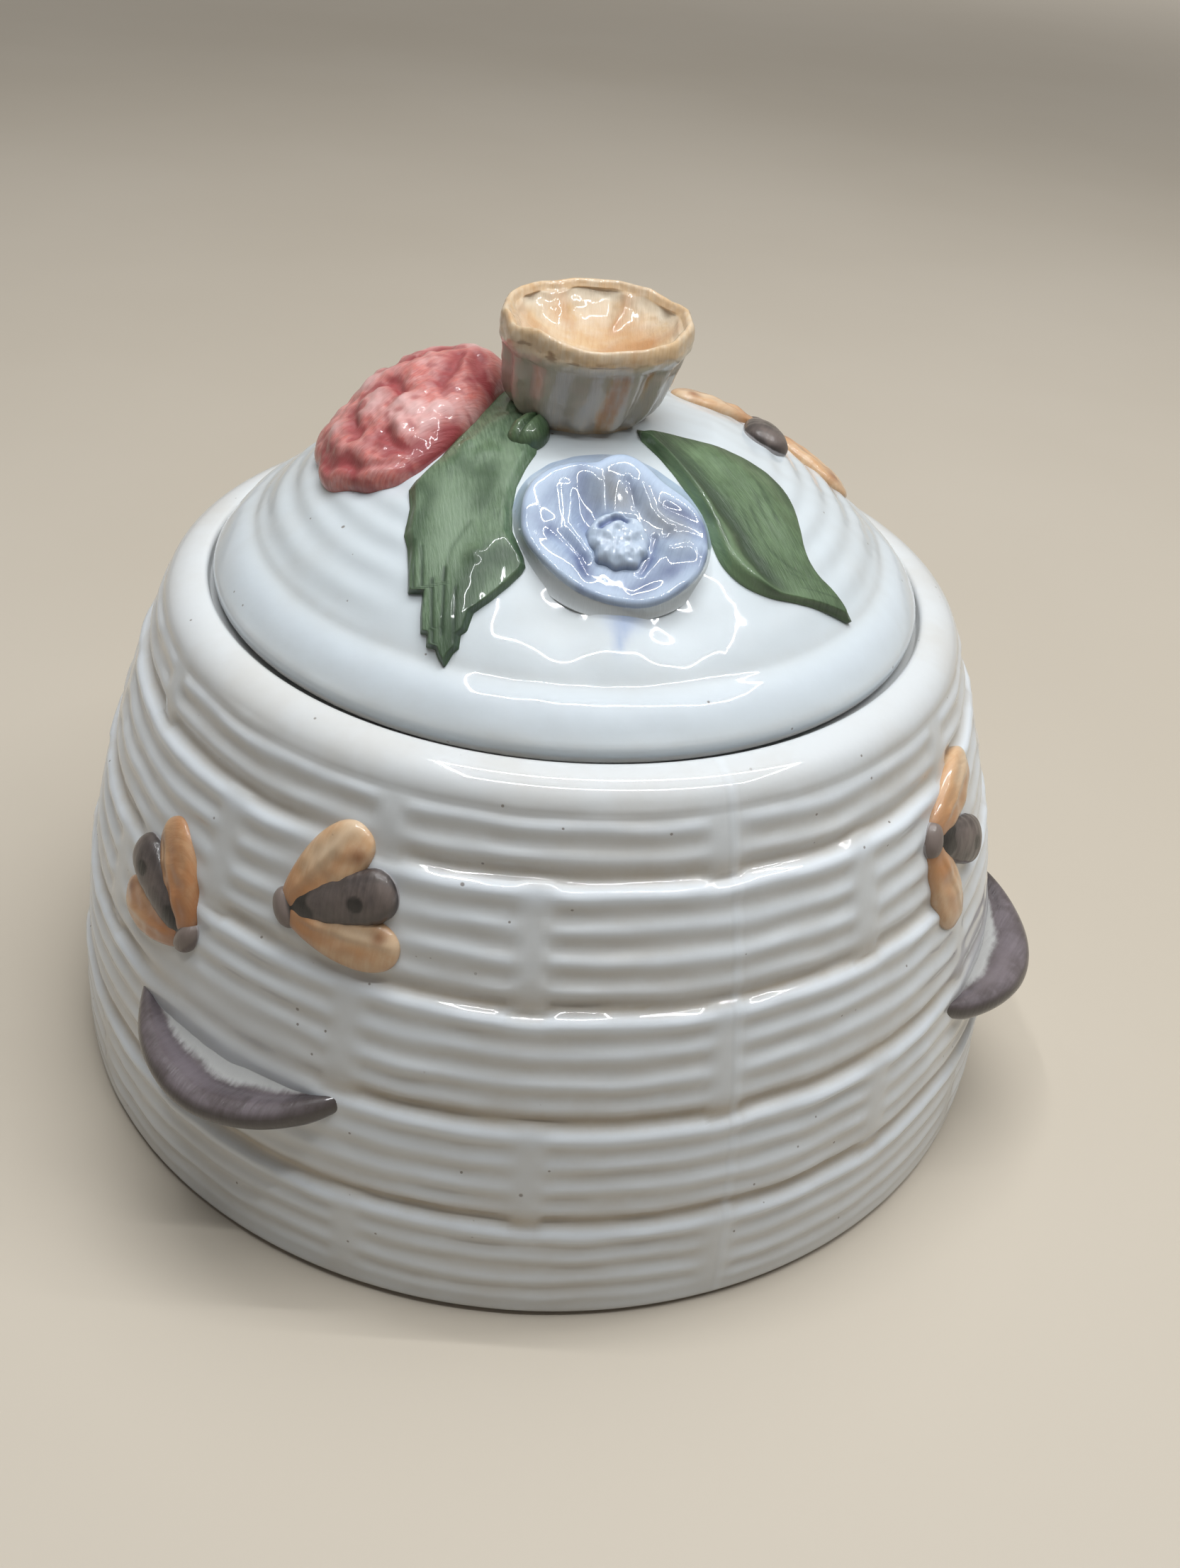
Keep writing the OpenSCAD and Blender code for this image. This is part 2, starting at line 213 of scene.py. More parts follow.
def speckle(tree, where, scale, share, small, large):
    """Small round dots: one in some of the cells of a scattered pattern."""
    cell = add(tree, "TexVoronoi", {"Vector": where, "Scale": scale})
    pick = add(tree, "SeparateColor", {"Color": cell.outputs["Color"]})
    dot = remap(tree, cell.outputs["Distance"], small, large, 1, 0)
    return calc(tree, "MULTIPLY", dot, remap(tree, pick.outputs["Red"], share, share + 0.02, 1, 0))


def group_sockets(tree, inputs, outputs):
    for name, kind in inputs:
        tree.interface.new_socket(name, in_out="INPUT", socket_type="NodeSocket" + kind)
    for name, kind in outputs:
        tree.interface.new_socket(name, in_out="OUTPUT", socket_type="NodeSocket" + kind)
    return tree.nodes.new("NodeGroupInput"), tree.nodes.new("NodeGroupOutput")


def glaze_marks():
    """What a fired glaze shows everywhere: cloudy tone, iron specks and pinholes, and a slow ripple."""
    tree = bpy.data.node_groups.new("glaze marks", "ShaderNodeTree")
    given, out = group_sockets(tree, [("Specks", "Float"), ("Ripple", "Float")],
                               [("Cloud", "Float"), ("Speck", "Float"), ("Height", "Float")])
    where = here(tree)
    ripple, peel = cloudy(tree, where, 190.0, 2.0), cloudy(tree, where, 1100.0, 2.0)
    iron = speckle(tree, where, 230.0, 0.1, 0.035, 0.07)
    fine = speckle(tree, where, 620.0, 0.07, 0.07, 0.13)
    speck = calc(tree, "MULTIPLY", calc(tree, "MAXIMUM", iron, fine), given.outputs["Specks"])
    height = calc(tree, "MULTIPLY", ripple, given.outputs["Ripple"])
    height = calc(tree, "ADD", height, calc(tree, "MULTIPLY", peel, 0.08))
    height = calc(tree, "SUBTRACT", height, calc(tree, "MULTIPLY", speck, 0.35))
    tree.links.new(cloudy(tree, where, 55.0, 5.0, 0.6), out.inputs["Cloud"])
    tree.links.new(speck, out.inputs["Speck"])
    tree.links.new(height, out.inputs["Height"])
    return tree


def pooled_glaze():
    """Where glaze collects and where it runs thin, from the piece's own marks, with ragged edges; on a few
    pieces these marks also hold painted shade and painted highlights.
    """
    tree = bpy.data.node_groups.new("pooled glaze", "ShaderNodeTree")
    given, out = group_sockets(tree, [("Ragged", "Float")], [("Pool", "Float"), ("Thin_and_highlight", "Float"),
                                                            ("Paint", "Float"), ("Dark", "Float")])
    rag = cloudy(tree, here(tree), 420.0, 4.0, 0.65)
    drift = calc(tree, "MULTIPLY", calc(tree, "SUBTRACT", rag, 0.5), given.outputs["Ragged"])
    for name in MARKS:
        mark = add(tree, "Attribute", attribute_name=name).outputs["Fac"]
        moved = calc(tree, "MULTIPLY", drift, remap(tree, mark, 0.0, 0.25))
        tree.links.new(calc(tree, "ADD", mark, moved, clamp=True), out.inputs[name.capitalize()])
    return tree


GLAZE_MARKS, POOLED_GLAZE = glaze_marks(), pooled_glaze()
RAGGED = 0.5


def new_material(name):
    material = bpy.data.materials.new(name)
    material.use_nodes = True
    material.node_tree.nodes.clear()
    return material, material.node_tree


def glaze_coat(tree, colour, rough, normal, coat):
    """Clear glaze over the colour: a soft gloss in the body and a sharp one in the coat."""
    shader = add(tree, "BsdfPrincipled", {"Base Color": colour, "Roughness": rough, "Normal": normal,
                                          "IOR": 1.5, "Coat Weight": coat, "Coat Roughness": 0.05,
                                          "Coat IOR": 1.5})
    add(tree, "OutputMaterial", {"Surface": shader.outputs["BSDF"]})


def start_glaze(name, specks, ripple):
    """A new material, the marks that any glaze shows, and the flow of the glaze over its piece."""
    material, tree = new_material(name)
    marks = add(tree, "Group", {"Specks": specks, "Ripple": ripple}, node_tree=GLAZE_MARKS)
    flow = add(tree, "Group", {"Ragged": RAGGED}, node_tree=POOLED_GLAZE)
    return material, tree, marks.outputs, flow.outputs


def white_glaze(name, clear, thin_and_highlight, pooled, run, seam):
    """Off-white glaze: bluish where thin, sandy where it pools, with a drop of colour run into it."""
    material, tree, marks, flow = start_glaze(name, 1.0, 0.5)
    cloud = remap(tree, marks["Cloud"], 0.3, 0.7)
    colour = wash(tree, clear, cloud, 0.5, pooled)
    colour = wash(tree, clear, cloud, 0.55, colour)
    colour = tint(tree, flow["Thin_and_highlight"], colour, thin_and_highlight)
    colour = tint(tree, flow["Pool"], colour, pooled)
    colour = wash(tree, colour, marks["Speck"], 0.75, (0.13, 0.1, 0.08, 1))
    colour = tint(tree, flow["Paint"], colour, run)
    colour = tint(tree, flow["Dark"], colour, (0.42, 0.34, 0.26, 1))
    height = marks["Height"]
    if seam:
        where = add(tree, "SeparateXYZ", {"Vector": here(tree)}).outputs
        across = calc(tree, "ADD", calc(tree, "MULTIPLY", where["X"], cos(radians(SEAM_AZ))),
                      calc(tree, "MULTIPLY", where["Y"], sin(radians(SEAM_AZ))))
        ridge = remap(tree, calc(tree, "ABSOLUTE", across), 0.0001, 0.0009, 1, 0)
        height = calc(tree, "ADD", height, calc(tree, "MULTIPLY", ridge, 0.45))
        colour = wash(tree, colour, ridge, 0.3, thin_and_highlight)
    bump = add(tree, "Bump", {"Strength": 0.35, "Distance": 0.0004, "Height": height})
    rough = remap(tree, marks["Cloud"], 0.25, 0.75, 0.4, 0.52)
    glaze_coat(tree, colour, rough, bump.outputs["Normal"], 0.9)
    return material


pot_glaze = white_glaze("pot_glaze", (0.58, 0.6, 0.61, 1), (0.64, 0.68, 0.72, 1), (0.42, 0.36, 0.28, 1),
                        (0.3, 0.21, 0.13, 1), True)

outer = [(0.0, 0.0), (30.0, 0.0), (50.0, 0.0), (58.0, 0.0), (62.0, 0.0)]
outer += [(63.4 + 1.6 * sin(a), 1.6 - 1.6 * cos(a)) for a in (radians(15 * i) for i in range(6))]
wall_rows = 172
outer += [(wall_r(z), z) for z in (1.6 + (SHOULDER_Z - 1.6) * i / wall_rows for i in range(wall_rows + 1))]
lip_x, top_r = RECESS_R + 0.9, wall_r(SHOULDER_Z)
outer += [(lip_x + (top_r - lip_x) * cos(a), SHOULDER_Z + (POT_H - SHOULDER_Z) * sin(a))
          for a in (radians(9 * i) for i in range(1, 11))]
inner = [(RECESS_R + 0.5, POT_H - 0.06), (RECESS_R + 0.15, POT_H - 0.3), (RECESS_R, POT_H - 0.7),
         (RECESS_R, SEAT_Z + 0.2), (RECESS_R - 0.2, SEAT_Z), (THROAT_R + 0.8, SEAT_Z),
         (THROAT_R + 0.25, SEAT_Z - 0.2), (THROAT_R, SEAT_Z - 0.7), (THROAT_R, NECK_Z + 0.6),
         (THROAT_R + 0.3, NECK_Z), (THROAT_R + 1.5, NECK_Z - 0.6)]
inner += [(wall_r(z) - WALL - 1.5 * ease(50, 55, z), z) for z in (54.5 - 2.4 * i for i in range(20))]
inner += [(wall_r(5) - WALL - 3 + 3 * cos(a), FLOOR + 3 - 3 * sin(a)) for a in
          (radians(15 * i) for i in range(7))]
inner += [(r, FLOOR) for r in (50.0, 35.0, 18.0, 0.0)]

bm = revolve(outer + inner, ROUND_STEPS)
layer = mark_layers(bm)
for v in bm.verts:
    r, z = hypot(v.co.x, v.co.y), v.co.z
    if 0.5 < z < 64 and r > wall_r(z) - 2:
        height, pool, thin_and_highlight = straw(v.co)
        lean = wall_lean(z)
        out = Vector((v.co.x / r * cos(lean), v.co.y / r * cos(lean), sin(lean)))
        v[layer["pool"]], v[layer["thin_and_highlight"]] = pool, thin_and_highlight
        v.co += out * height
    elif z <= 0.5:
        stilts = min(hypot(v.co.x - 40 * cos(a), v.co.y - 40 * sin(a)) for a in (0.5, 2.6, 4.7))
        v[layer["dark"]] = max(ease(58, 62, r), 1 - ease(1.5, 2.5, stilts)) * 0.8
pot_wall = fire(bm, "pot_wall", pot_glaze)
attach(pot_wall, "pot")
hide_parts("pot_body")

# THE LANDING LEDGES
# Two crescent shelves of clay stuck on the wall under the bees, as on a real hive. White glaze slopes
# down to them from the wall, painted grey there as shade; the top is brushed purple-grey with a pale
# painted highlight, and the rounded lip almost black.

LEDGE_OUT, LEDGE_W = 6.4, 32.5
ROOT_R = 60.9  # how deep in the wall the shelf is rooted
SPIN_R, SWEEP = 30, 136


def brushed(tree, where, turn, fine):
    """Brush marks: long thin streaks of tone along one direction, turned by an angle in degrees."""
    mapped = add(tree, "Mapping", {"Vector": where, "Rotation": (0, 0, radians(turn)),
                                   "Scale": (fine, fine * 0.12, fine * 0.12)})
    return cloudy(tree, mapped.outputs["Vector"], 1.0, 3.0, 0.6)


def hand_painting():
    """Two crossing sets of brush marks and a blotchy tone, as a loaded brush leaves on bisque."""
    tree = bpy.data.node_groups.new("hand painting", "ShaderNodeTree")
    given, out = group_sockets(tree, [("Vector", "Vector")], [("Stroke", "Float"), ("Cross", "Float"),
                                                              ("Blotch", "Float")])
    tree.links.new(brushed(tree, given.outputs["Vector"], 0, 1700.0), out.inputs["Stroke"])
    tree.links.new(brushed(tree, given.outputs["Vector"], 82, 2300.0), out.inputs["Cross"])
    tree.links.new(cloudy(tree, given.outputs["Vector"], 260.0, 4.0, 0.62, 0.4), out.inputs["Blotch"])
    return tree


HAND_PAINTING = hand_painting()


def painted(name, thin_and_highlight, middle, deep, dark, turn=0.0, strokes=0.5, blotches=0.5, coat=0.8, brush=1.0,
            bare_glaze_and_shade=(0.56, 0.6, 0.62, 1)):
    """Underglaze colour brushed on by hand: thin on crests, deep in creases, bare where not painted; on some
    pieces the bare colour is greyed as painted shade.
    """
    material, tree, marks, flow = start_glaze(name, 0.5, 0.7)
    laid = add(tree, "Mapping", {"Vector": here(tree), "Rotation": (0, 0, radians(turn)),
                                 "Scale": (1 / brush, 1 / brush, 1 / brush)})
    hand = add(tree, "Group", {"Vector": laid.outputs["Vector"]}, node_tree=HAND_PAINTING).outputs
    stroke, cross = remap(tree, hand["Stroke"], 0.32, 0.68), remap(tree, hand["Cross"], 0.35, 0.65)
    colour = wash(tree, middle, remap(tree, hand["Blotch"], 0.38, 0.64), blotches, thin_and_highlight)
    colour = wash(tree, colour, stroke, strokes, deep)
    colour = wash(tree, colour, cross, strokes * 0.5, thin_and_highlight)
    for mark, coat_of in (("Thin_and_highlight", thin_and_highlight), ("Pool", deep), ("Dark", dark)):
        colour = tint(tree, flow[mark], colour, coat_of)
    colour = wash(tree, colour, marks["Speck"], 0.5, (0.1, 0.08, 0.07, 1))
    dry = calc(tree, "MULTIPLY", calc(tree, "SUBTRACT", hand["Stroke"], 0.5), 0.35)
    cover = remap(tree, calc(tree, "ADD", flow["Paint"], dry), 0.25, 0.75)
    colour = tint(tree, cover, bare_glaze_and_shade, colour)
    height = calc(tree, "ADD", marks["Height"], calc(tree, "MULTIPLY", stroke, 0.22))
    height = calc(tree, "ADD", height, calc(tree, "MULTIPLY", cross, 0.1))
    bump = add(tree, "Bump", {"Strength": 0.4, "Distance": 0.0003, "Height": height})
    rough = remap(tree, hand["Blotch"], 0.3, 0.7, 0.38, 0.55)
    glaze_coat(tree, colour, rough, bump.outputs["Normal"], coat)
    return material


# the bare glaze on the ledges is painted grey as shade, and the palest colour serves the painted highlight on
# the top as well as the blotches
ledge_paint = painted("ledge_paint", (0.145, 0.12, 0.135, 1), (0.06, 0.046, 0.051, 1),
                      (0.034, 0.025, 0.027, 1), (0.02, 0.014, 0.012, 1), turn=30, strokes=0.4,
                      blotches=0.7, bare_glaze_and_shade=(0.42, 0.42, 0.41, 1))

ledge_wall = wall_r(LEDGE_Z)
tip_y = LEDGE_W / 2
tip_x = sqrt(ledge_wall**2 - tip_y**2)
far_x = ledge_wall + LEDGE_OUT
ledge_axis = (far_x**2 - tip_x**2 - tip_y**2) / (2 * (far_x - tip_x))
ledge_turn = far_x - ledge_axis
# The shelf's section, from the wall above it, out along the slope and round the lip, to the wall below
slope = [(w, 3.6 - 3.3 * ease(-0.2, 0.5, w) + 0.5 * ease(0.4, 0.72, w)) for w in (i / 18 for i in range(14))]
lip_h = slope[-1][1]
lip_mid = (lip_h - 2.6) / 2
lip = [(0.74 + 0.26 * cos(a), lip_mid + (lip_h - lip_mid) * sin(a)) for a in
       (radians(78 - 14 * i) for i in range(12))]
under = [(0.6, -3.0), (0.4, -3.4), (0.2, -3.7), (0.0, -3.9)]
section = slope + lip + under
for name, az in LEDGES.items():
    bm = bmesh.new()
    line = [bm.verts.new((w, 0, h)) for w, h in section]
    for i, v in enumerate(line):
        bm.edges.new((v, line[(i + 1) % len(line)]))
    sweep = radians(SWEEP)
    bmesh.ops.spin(bm, geom=bm.verts[:] + bm.edges[:], cent=(-SPIN_R, 0, 0), axis=(0, 0, 1),
                   angle=sweep, steps=120)
    bmesh.ops.holes_fill(bm, edges=bm.edges[:], sides=0)
    layer = mark_layers(bm)
    for v in bm.verts:
        # the spin's own turn and reach say where on the crescent and on its section this point belongs
        part = atan2(v.co.y, v.co.x + SPIN_R) / sweep * 2 - 1
        w = hypot(v.co.x + SPIN_R, v.co.y) - SPIN_R
        psi = part * sweep / 2
        full = 1 - ease(0.62, 1.0, abs(part))
        tip_up = 2.4 * abs(part) ** 1.7 + (1.9 * max(part, 0.0) ** 1.6 if name == "ledge_left" else 0.0)
        reach = sqrt(max(ROOT_R**2 - (ledge_axis * sin(psi)) ** 2, 0)) - ledge_axis * cos(psi)
        rho = max(reach, 4.0) + (ledge_turn - max(reach, 4.0)) * w
        h = v.co.z * (0.3 + 0.7 * full) + 0.2 * wander(psi * 4, w * 2, 1.3)
        h += tip_up - 0.3
        in_line = wall_r(LEDGE_Z + tip_up) / ledge_wall
        x, y = in_line * (ledge_axis + rho * cos(psi)), in_line * rho * sin(psi)
        face = radians(az) - pi / 2
        v.co = Vector((x * cos(face) - y * sin(face), x * sin(face) + y * cos(face), LEDGE_Z + h))
        top = sin(psi * 9 + az) * 0.02
        low = h < tip_up - 3.2 * (0.3 + 0.7 * full)
        v[layer["paint"]] = 0.0 if low else ease(0.2, 0.6, w + top + 0.2 * (1 - full))
        v[layer["dark"]] = max(ease(0.9, 0.99, w) * 0.85, ease(0.5, 0.8, part) * 0.6,
                               ease(-0.7, -0.95, part) * 0.5)
        # a pale band on the top, short of the lip, is a painted highlight
        v[layer["thin_and_highlight"]] = bell(w - 0.6, 0.15) * bell(part + 0.2, 0.4) * 0.9
    ledge = fire(bm, name, ledge_paint)
    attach(ledge, "pot")
    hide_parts("landing_" + name)

# THE BEES ON THE POT
# Three bees pressed from clay and stuck on the wall: a round head, a body that is blunt at the tail,
# and two drop-shaped wings. The bodies are brushed charcoal and the wings orange-tan, paler at the edge.

BEE_LEN, BEE_W, WING_LEN, WING_W, WING_T = 14.5, 7.2, 14.5, 6.2, 1.2
HEAD_R = BEE_W * 0.3


def turned(x, y, degrees):
    c, s = cos(radians(degrees)), sin(radians(degrees))
    return x * c - y * s, x * s + y * c


def bee_body(name, place, turn, material, pale_head):
    """The body of one bee. place(x, y, h) puts a point on the pot or the lid."""
    bm = bmesh.new()
    bmesh.ops.create_uvsphere(bm, u_segments=72, v_segments=96, radius=1)
    bmesh.ops.rotate(bm, verts=bm.verts[:], cent=(0, 0, 0), matrix=Matrix.Rotation(pi / 2, 3, "Y"))
    layer = mark_layers(bm)
    start, end = -BEE_LEN / 2 - HEAD_R / 2 + 0.1, BEE_LEN / 2
    for v in bm.verts:
        x = start + (end - start) * (v.co.x + 1) / 2
        across = atan2(v.co.z, v.co.y)
        along = max(x / BEE_LEN + 0.5, 0.0)
        girth = BEE_W / 2 * along**0.38 * sqrt(max(0.0, 1 - along**9))
        head = 1.08 * HEAD_R * sqrt(max(0.0, 1 - ((x + BEE_LEN / 2 - 0.5) / 1.55) ** 2))
        size = max(girth, head) * (1 + 0.04 * wander(x, across, 0))
        y = size * cos(across)
        h = (0.66 - 0.06 * bell(x + 5.2, 0.6)) * size * copysign(abs(sin(across)) ** 0.85, sin(across))
        u, w = turned(x, y, turn)
        v.co = place(u, w, max(h, -1.2))
        on_head = 1 - ease(-6.0, -5.6, x + 0.08 * y * y)
        v[layer["paint"]] = (1 - 0.22 * ease(5.2, 6.8, x)) * ease(0.0, 0.4, h)
        blotch = ease(-5.9, -5.6, x) * (1 - ease(-3.0, -2.5, x + 0.3 * sin(2.5 * y)))
        spot = 1 - ease(0.75, 1.1, hypot(x - 3.0, y + 0.3))
        v[layer["dark"]] = max(blotch, spot)
        v[layer["thin_and_highlight"]] = max(on_head * pale_head, 0.35 * bell(x - 0.4, 1.6) * bell(y, 1.6),
                               0.55 * ease(4.6, 6.4, x))
        seam = 0.7 * (1 - ease(0.2, 1.1, h)) + 0.5 * bell(abs(y) - 0.75 * size, 0.5)
        v[layer["pool"]] = seam * (1 - on_head)
    return fire(bm, name, material)


def bee_wings(name, place, turn, spread, material):
    """Both wings of one bee, thin lenses with two soft folds, fanned out from behind the head."""
    bm = bmesh.new()
    for side in (-1, 1):
        bmesh.ops.create_uvsphere(bm, u_segments=96, v_segments=40, radius=1,
                                  matrix=Matrix.Translation((4 * side, 0, 0)))
    layer = mark_layers(bm)
    for v in bm.verts:
        side = 1 if v.co.x > 0 else -1
        u, w = v.co.x - 4 * side, v.co.y
        rho, a = min(hypot(u, w), 1.0), pi - atan2(w, u)
        edge_x = WING_LEN * (1 - cos(a)) / 2
        edge_y = WING_W / 2 * copysign(abs(sin(a)) ** 0.85, sin(a)) * (1 - 0.3 * cos(a))
        x, y = 7.0 + (edge_x - 7.0) * rho, edge_y * rho
        fold = 0.22 * bell(y - 0.3 - 0.05 * x, 0.55) * ease(1, 5, x)
        top = WING_T * (1 - rho**5) ** 0.5 + (0.25 * wander(x / 2, y / 2, side) + fold) * (1 - rho**3)
        h = top if v.co.z >= -0.0001 else -0.9
        p, q = turned(x, y, side * spread)
        p, q = turned(p - BEE_LEN / 2, q, turn)
        v.co = place(p, q, h)
        v[layer["paint"]] = 1 - 0.28 * ease(0.85, 1.0, rho)
        root = 0.75 * bell(x - 3.2, 2.6) + 0.5 * bell(y + 0.8, 0.9) * ease(0.9, 0.5, rho)
        v[layer["pool"]] = min(1.0, root)
        v[layer["dark"]] = 0.75 * bell(x - 1.0, 1.3) + 0.85 * bell(hypot(x - 12.2, y + side * 1.6), 0.9)
        v[layer["thin_and_highlight"]] = 0.8 * ease(6, 10, x) * bell(y - 1.2, 1.0)
    return fire(bm, name, material)


bee_paint = painted("bee_paint", (0.16, 0.125, 0.11, 1), (0.046, 0.037, 0.037, 1), (0.022, 0.016, 0.016, 1),
                    (0.005, 0.004, 0.004, 1), turn=15, strokes=0.4, blotches=0.55, coat=0.45,
                    bare_glaze_and_shade=(0.3, 0.28, 0.28, 1))
wing_paint = painted("wing_paint", (0.6, 0.45, 0.3, 1), (0.54, 0.32, 0.16, 1), (0.42, 0.19, 0.07, 1),
                     (0.24, 0.09, 0.03, 1), turn=40, strokes=0.3, blotches=0.6, bare_glaze_and_shade=(0.55, 0.5, 0.41, 1))
left_wing_paint = painted("left_wing_paint", (0.52, 0.32, 0.17, 1), (0.46, 0.2, 0.075, 1),
                          (0.34, 0.13, 0.04, 1), (0.16, 0.055, 0.02, 1), turn=-60, strokes=0.35,
                          blotches=0.6, bare_glaze_and_shade=(0.56, 0.52, 0.44, 1))


def press_bee(name, body, place, turn, spread, colour, pale_head=1.0):
    wings = bee_wings(name + "_both_wings", place, turn, spread, colour)
    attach(wings, body)
    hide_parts(name + "_wings")
    trunk = bee_body(name + "_trunk", place, turn, bee_paint, pale_head)
    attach(trunk, body)
    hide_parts(name + "_body")


for name, (az, z, turn, spread) in BEES.items():
    def wall_place(x, y, h, az=az, z=z):
        return on_wall(az, z, x, y, h)

    press_bee(name, "pot", wall_place, turn, spread, left_wing_paint if name == "bee_left" else wing_paint)

# THE LID
# A thin slip-cast dome with a rounded rim and, underneath, a ring that drops into the pot's throat.
# It carries the flowers. A soft round band runs inside the rim, with faint rings of straw above it.

LID_R, LID_RISE, DOME_POWER, DOME_Z, LID_Z = 44.5, 20.1, 2.35, 67.35, 65.15
RING_R, RING_T, RING_H, LID_WALL, BAND = 37.5, 3.5, 5.0, 4.0, 5.0


def lid_top(r):
    swell = 0.5 * sin(pi * (LID_R - r) / BAND) if r > LID_R - BAND else 0.0
    return DOME_Z + LID_RISE * (1 - (r / LID_R) ** DOME_POWER) + swell


def dome_normal(x, y):
    r = hypot(x, y)
    fall = LID_RISE * DOME_POWER / LID_R * (r / LID_R) ** (DOME_POWER - 1)
    return Vector((fall * x / max(r, 0.01), fall * y / max(r, 0.01), 1)).normalized()


def on_dome(x, y, h):
    """A point over plan position x, y, at height h out of the dome."""
    return Vector((x, y, lid_top(hypot(x, y)))) + dome_normal(x, y) * h


def lid_relief(x, y):
    r = hypot(x, y)
    side = abs((degrees(atan2(x, -y)) - 8 + 180) % 360 - 180)
    rings = 0.12 * cos(2 * pi * (r - 39.5) / 3.2) * ease(20, 27, r) * (1 - ease(38.2, 39.4, r))
    rings *= (1 + 0.6 * wander(x / 12, y / 12, 4)) * (0.08 + 0.92 * ease(28, 60, side))
    height = rings - 0.2 * bell(r - 39.5, 1.4)
    for dent_x, dent_y, wide, deep in ((0.0, -33.4, 3.7, 0.9), (11.6, -31.2, 3.5, 0.9), (-28, -17, 7, 0.3)):
        height -= deep * bell(hypot(x - dent_x, y - dent_y), wide)
    p = Vector((x, y, 0))
    return height + 0.05 * noise.noise(p / 2.3) + 0.12 * noise.noise(p / 8) + 0.15 * noise.noise(p / 20)


lid_glaze = white_glaze("lid_glaze", (0.55, 0.6, 0.63, 1), (0.6, 0.66, 0.71, 1), (0.47, 0.46, 0.43, 1),
                        (0.25, 0.33, 0.52, 1), False)
rows = [0.0, 2.0, 4.0, 5.5, 7.0] + [7.0 + 37.3 * (i / 104) ** 0.93 for i in range(1, 105)]
dome = [(r, lid_top(r)) for r in rows]
rim = [(44.45, 67.25), (44.5, 66.95), (44.48, 66.55), (44.38, 66.1), (44.18, 65.72), (43.9, 65.42),
    (43.5, 65.22), (43.0, LID_Z), (40.5, LID_Z), (RING_R + 0.4, LID_Z), (RING_R + 0.1, LID_Z - 0.1),
    (RING_R, LID_Z - 0.4), (RING_R, LID_Z - RING_H + 0.8), (RING_R - 0.25, LID_Z - RING_H + 0.2),
    (RING_R - 0.8, LID_Z - RING_H), (RING_R - RING_T + 0.8, LID_Z - RING_H),
    (RING_R - RING_T + 0.2, LID_Z - RING_H + 0.25), (RING_R - RING_T, LID_Z - RING_H + 0.8)]
hollow = [(r, lid_top(r) - LID_WALL) for r in [34.0 - 1.5 * i for i in range(22)] + [1.2, 0.0]]
bm = revolve(dome + rim + hollow, ROUND_STEPS)
layer = mark_layers(bm)
for v in bm.verts:
    r = hypot(v.co.x, v.co.y)
    if r > 5 and v.co.z > lid_top(min(r, LID_R)) - 0.3 and v.co.z > DOME_Z - 0.05:
        inside = 1 - ease(43.6, 44.4, r)
        v.co += dome_normal(v.co.x, v.co.y) * lid_relief(v.co.x, v.co.y) * inside
        v[layer["pool"]] = 0.18 * bell(r - 39.3, 0.8) + 0.25 * bell(r - 44.3, 0.5)
        v[layer["thin_and_highlight"]] = 0.7 * bell(r - 42, 1.5)
        run = bell(v.co.x - 6.4 - 0.12 * (v.co.y + 33), 0.55 + 1.3 * ease(-35.5, -32.5, v.co.y))
        v[layer["paint"]] = 0.75 * run * ease(-37, -35.2, v.co.y) * (v.co.y < -28)
    elif LID_Z - 0.3 < v.co.z < 66.3:
        v[layer["dark"]] = 0.5
lid_dome = fire(bm, "lid_dome", lid_glaze)
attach(lid_dome, "lid")
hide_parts("lid_shell")

# THE KNOB
# The tied top of the skep, flared to a crumpled, hollow lip that finger and thumb can hold. Flutes run
# up the stalk. It is washed with straw brown that has run down the flutes and pooled in the hollow.

FLUTES, KNOB_LEAN = 13, 1.1


def cut_corners(points, times):
    """A smooth line through the run of a few given points, by cutting its corners again and again."""
    for _ in range(times):
        made = [points[0]]
        for a, b in zip(points, points[1:]):
            made += [tuple(share * p + (1 - share) * q for p, q in zip(a, b)) for share in (0.75, 0.25)]
        points = made + [points[-1]]
    return points


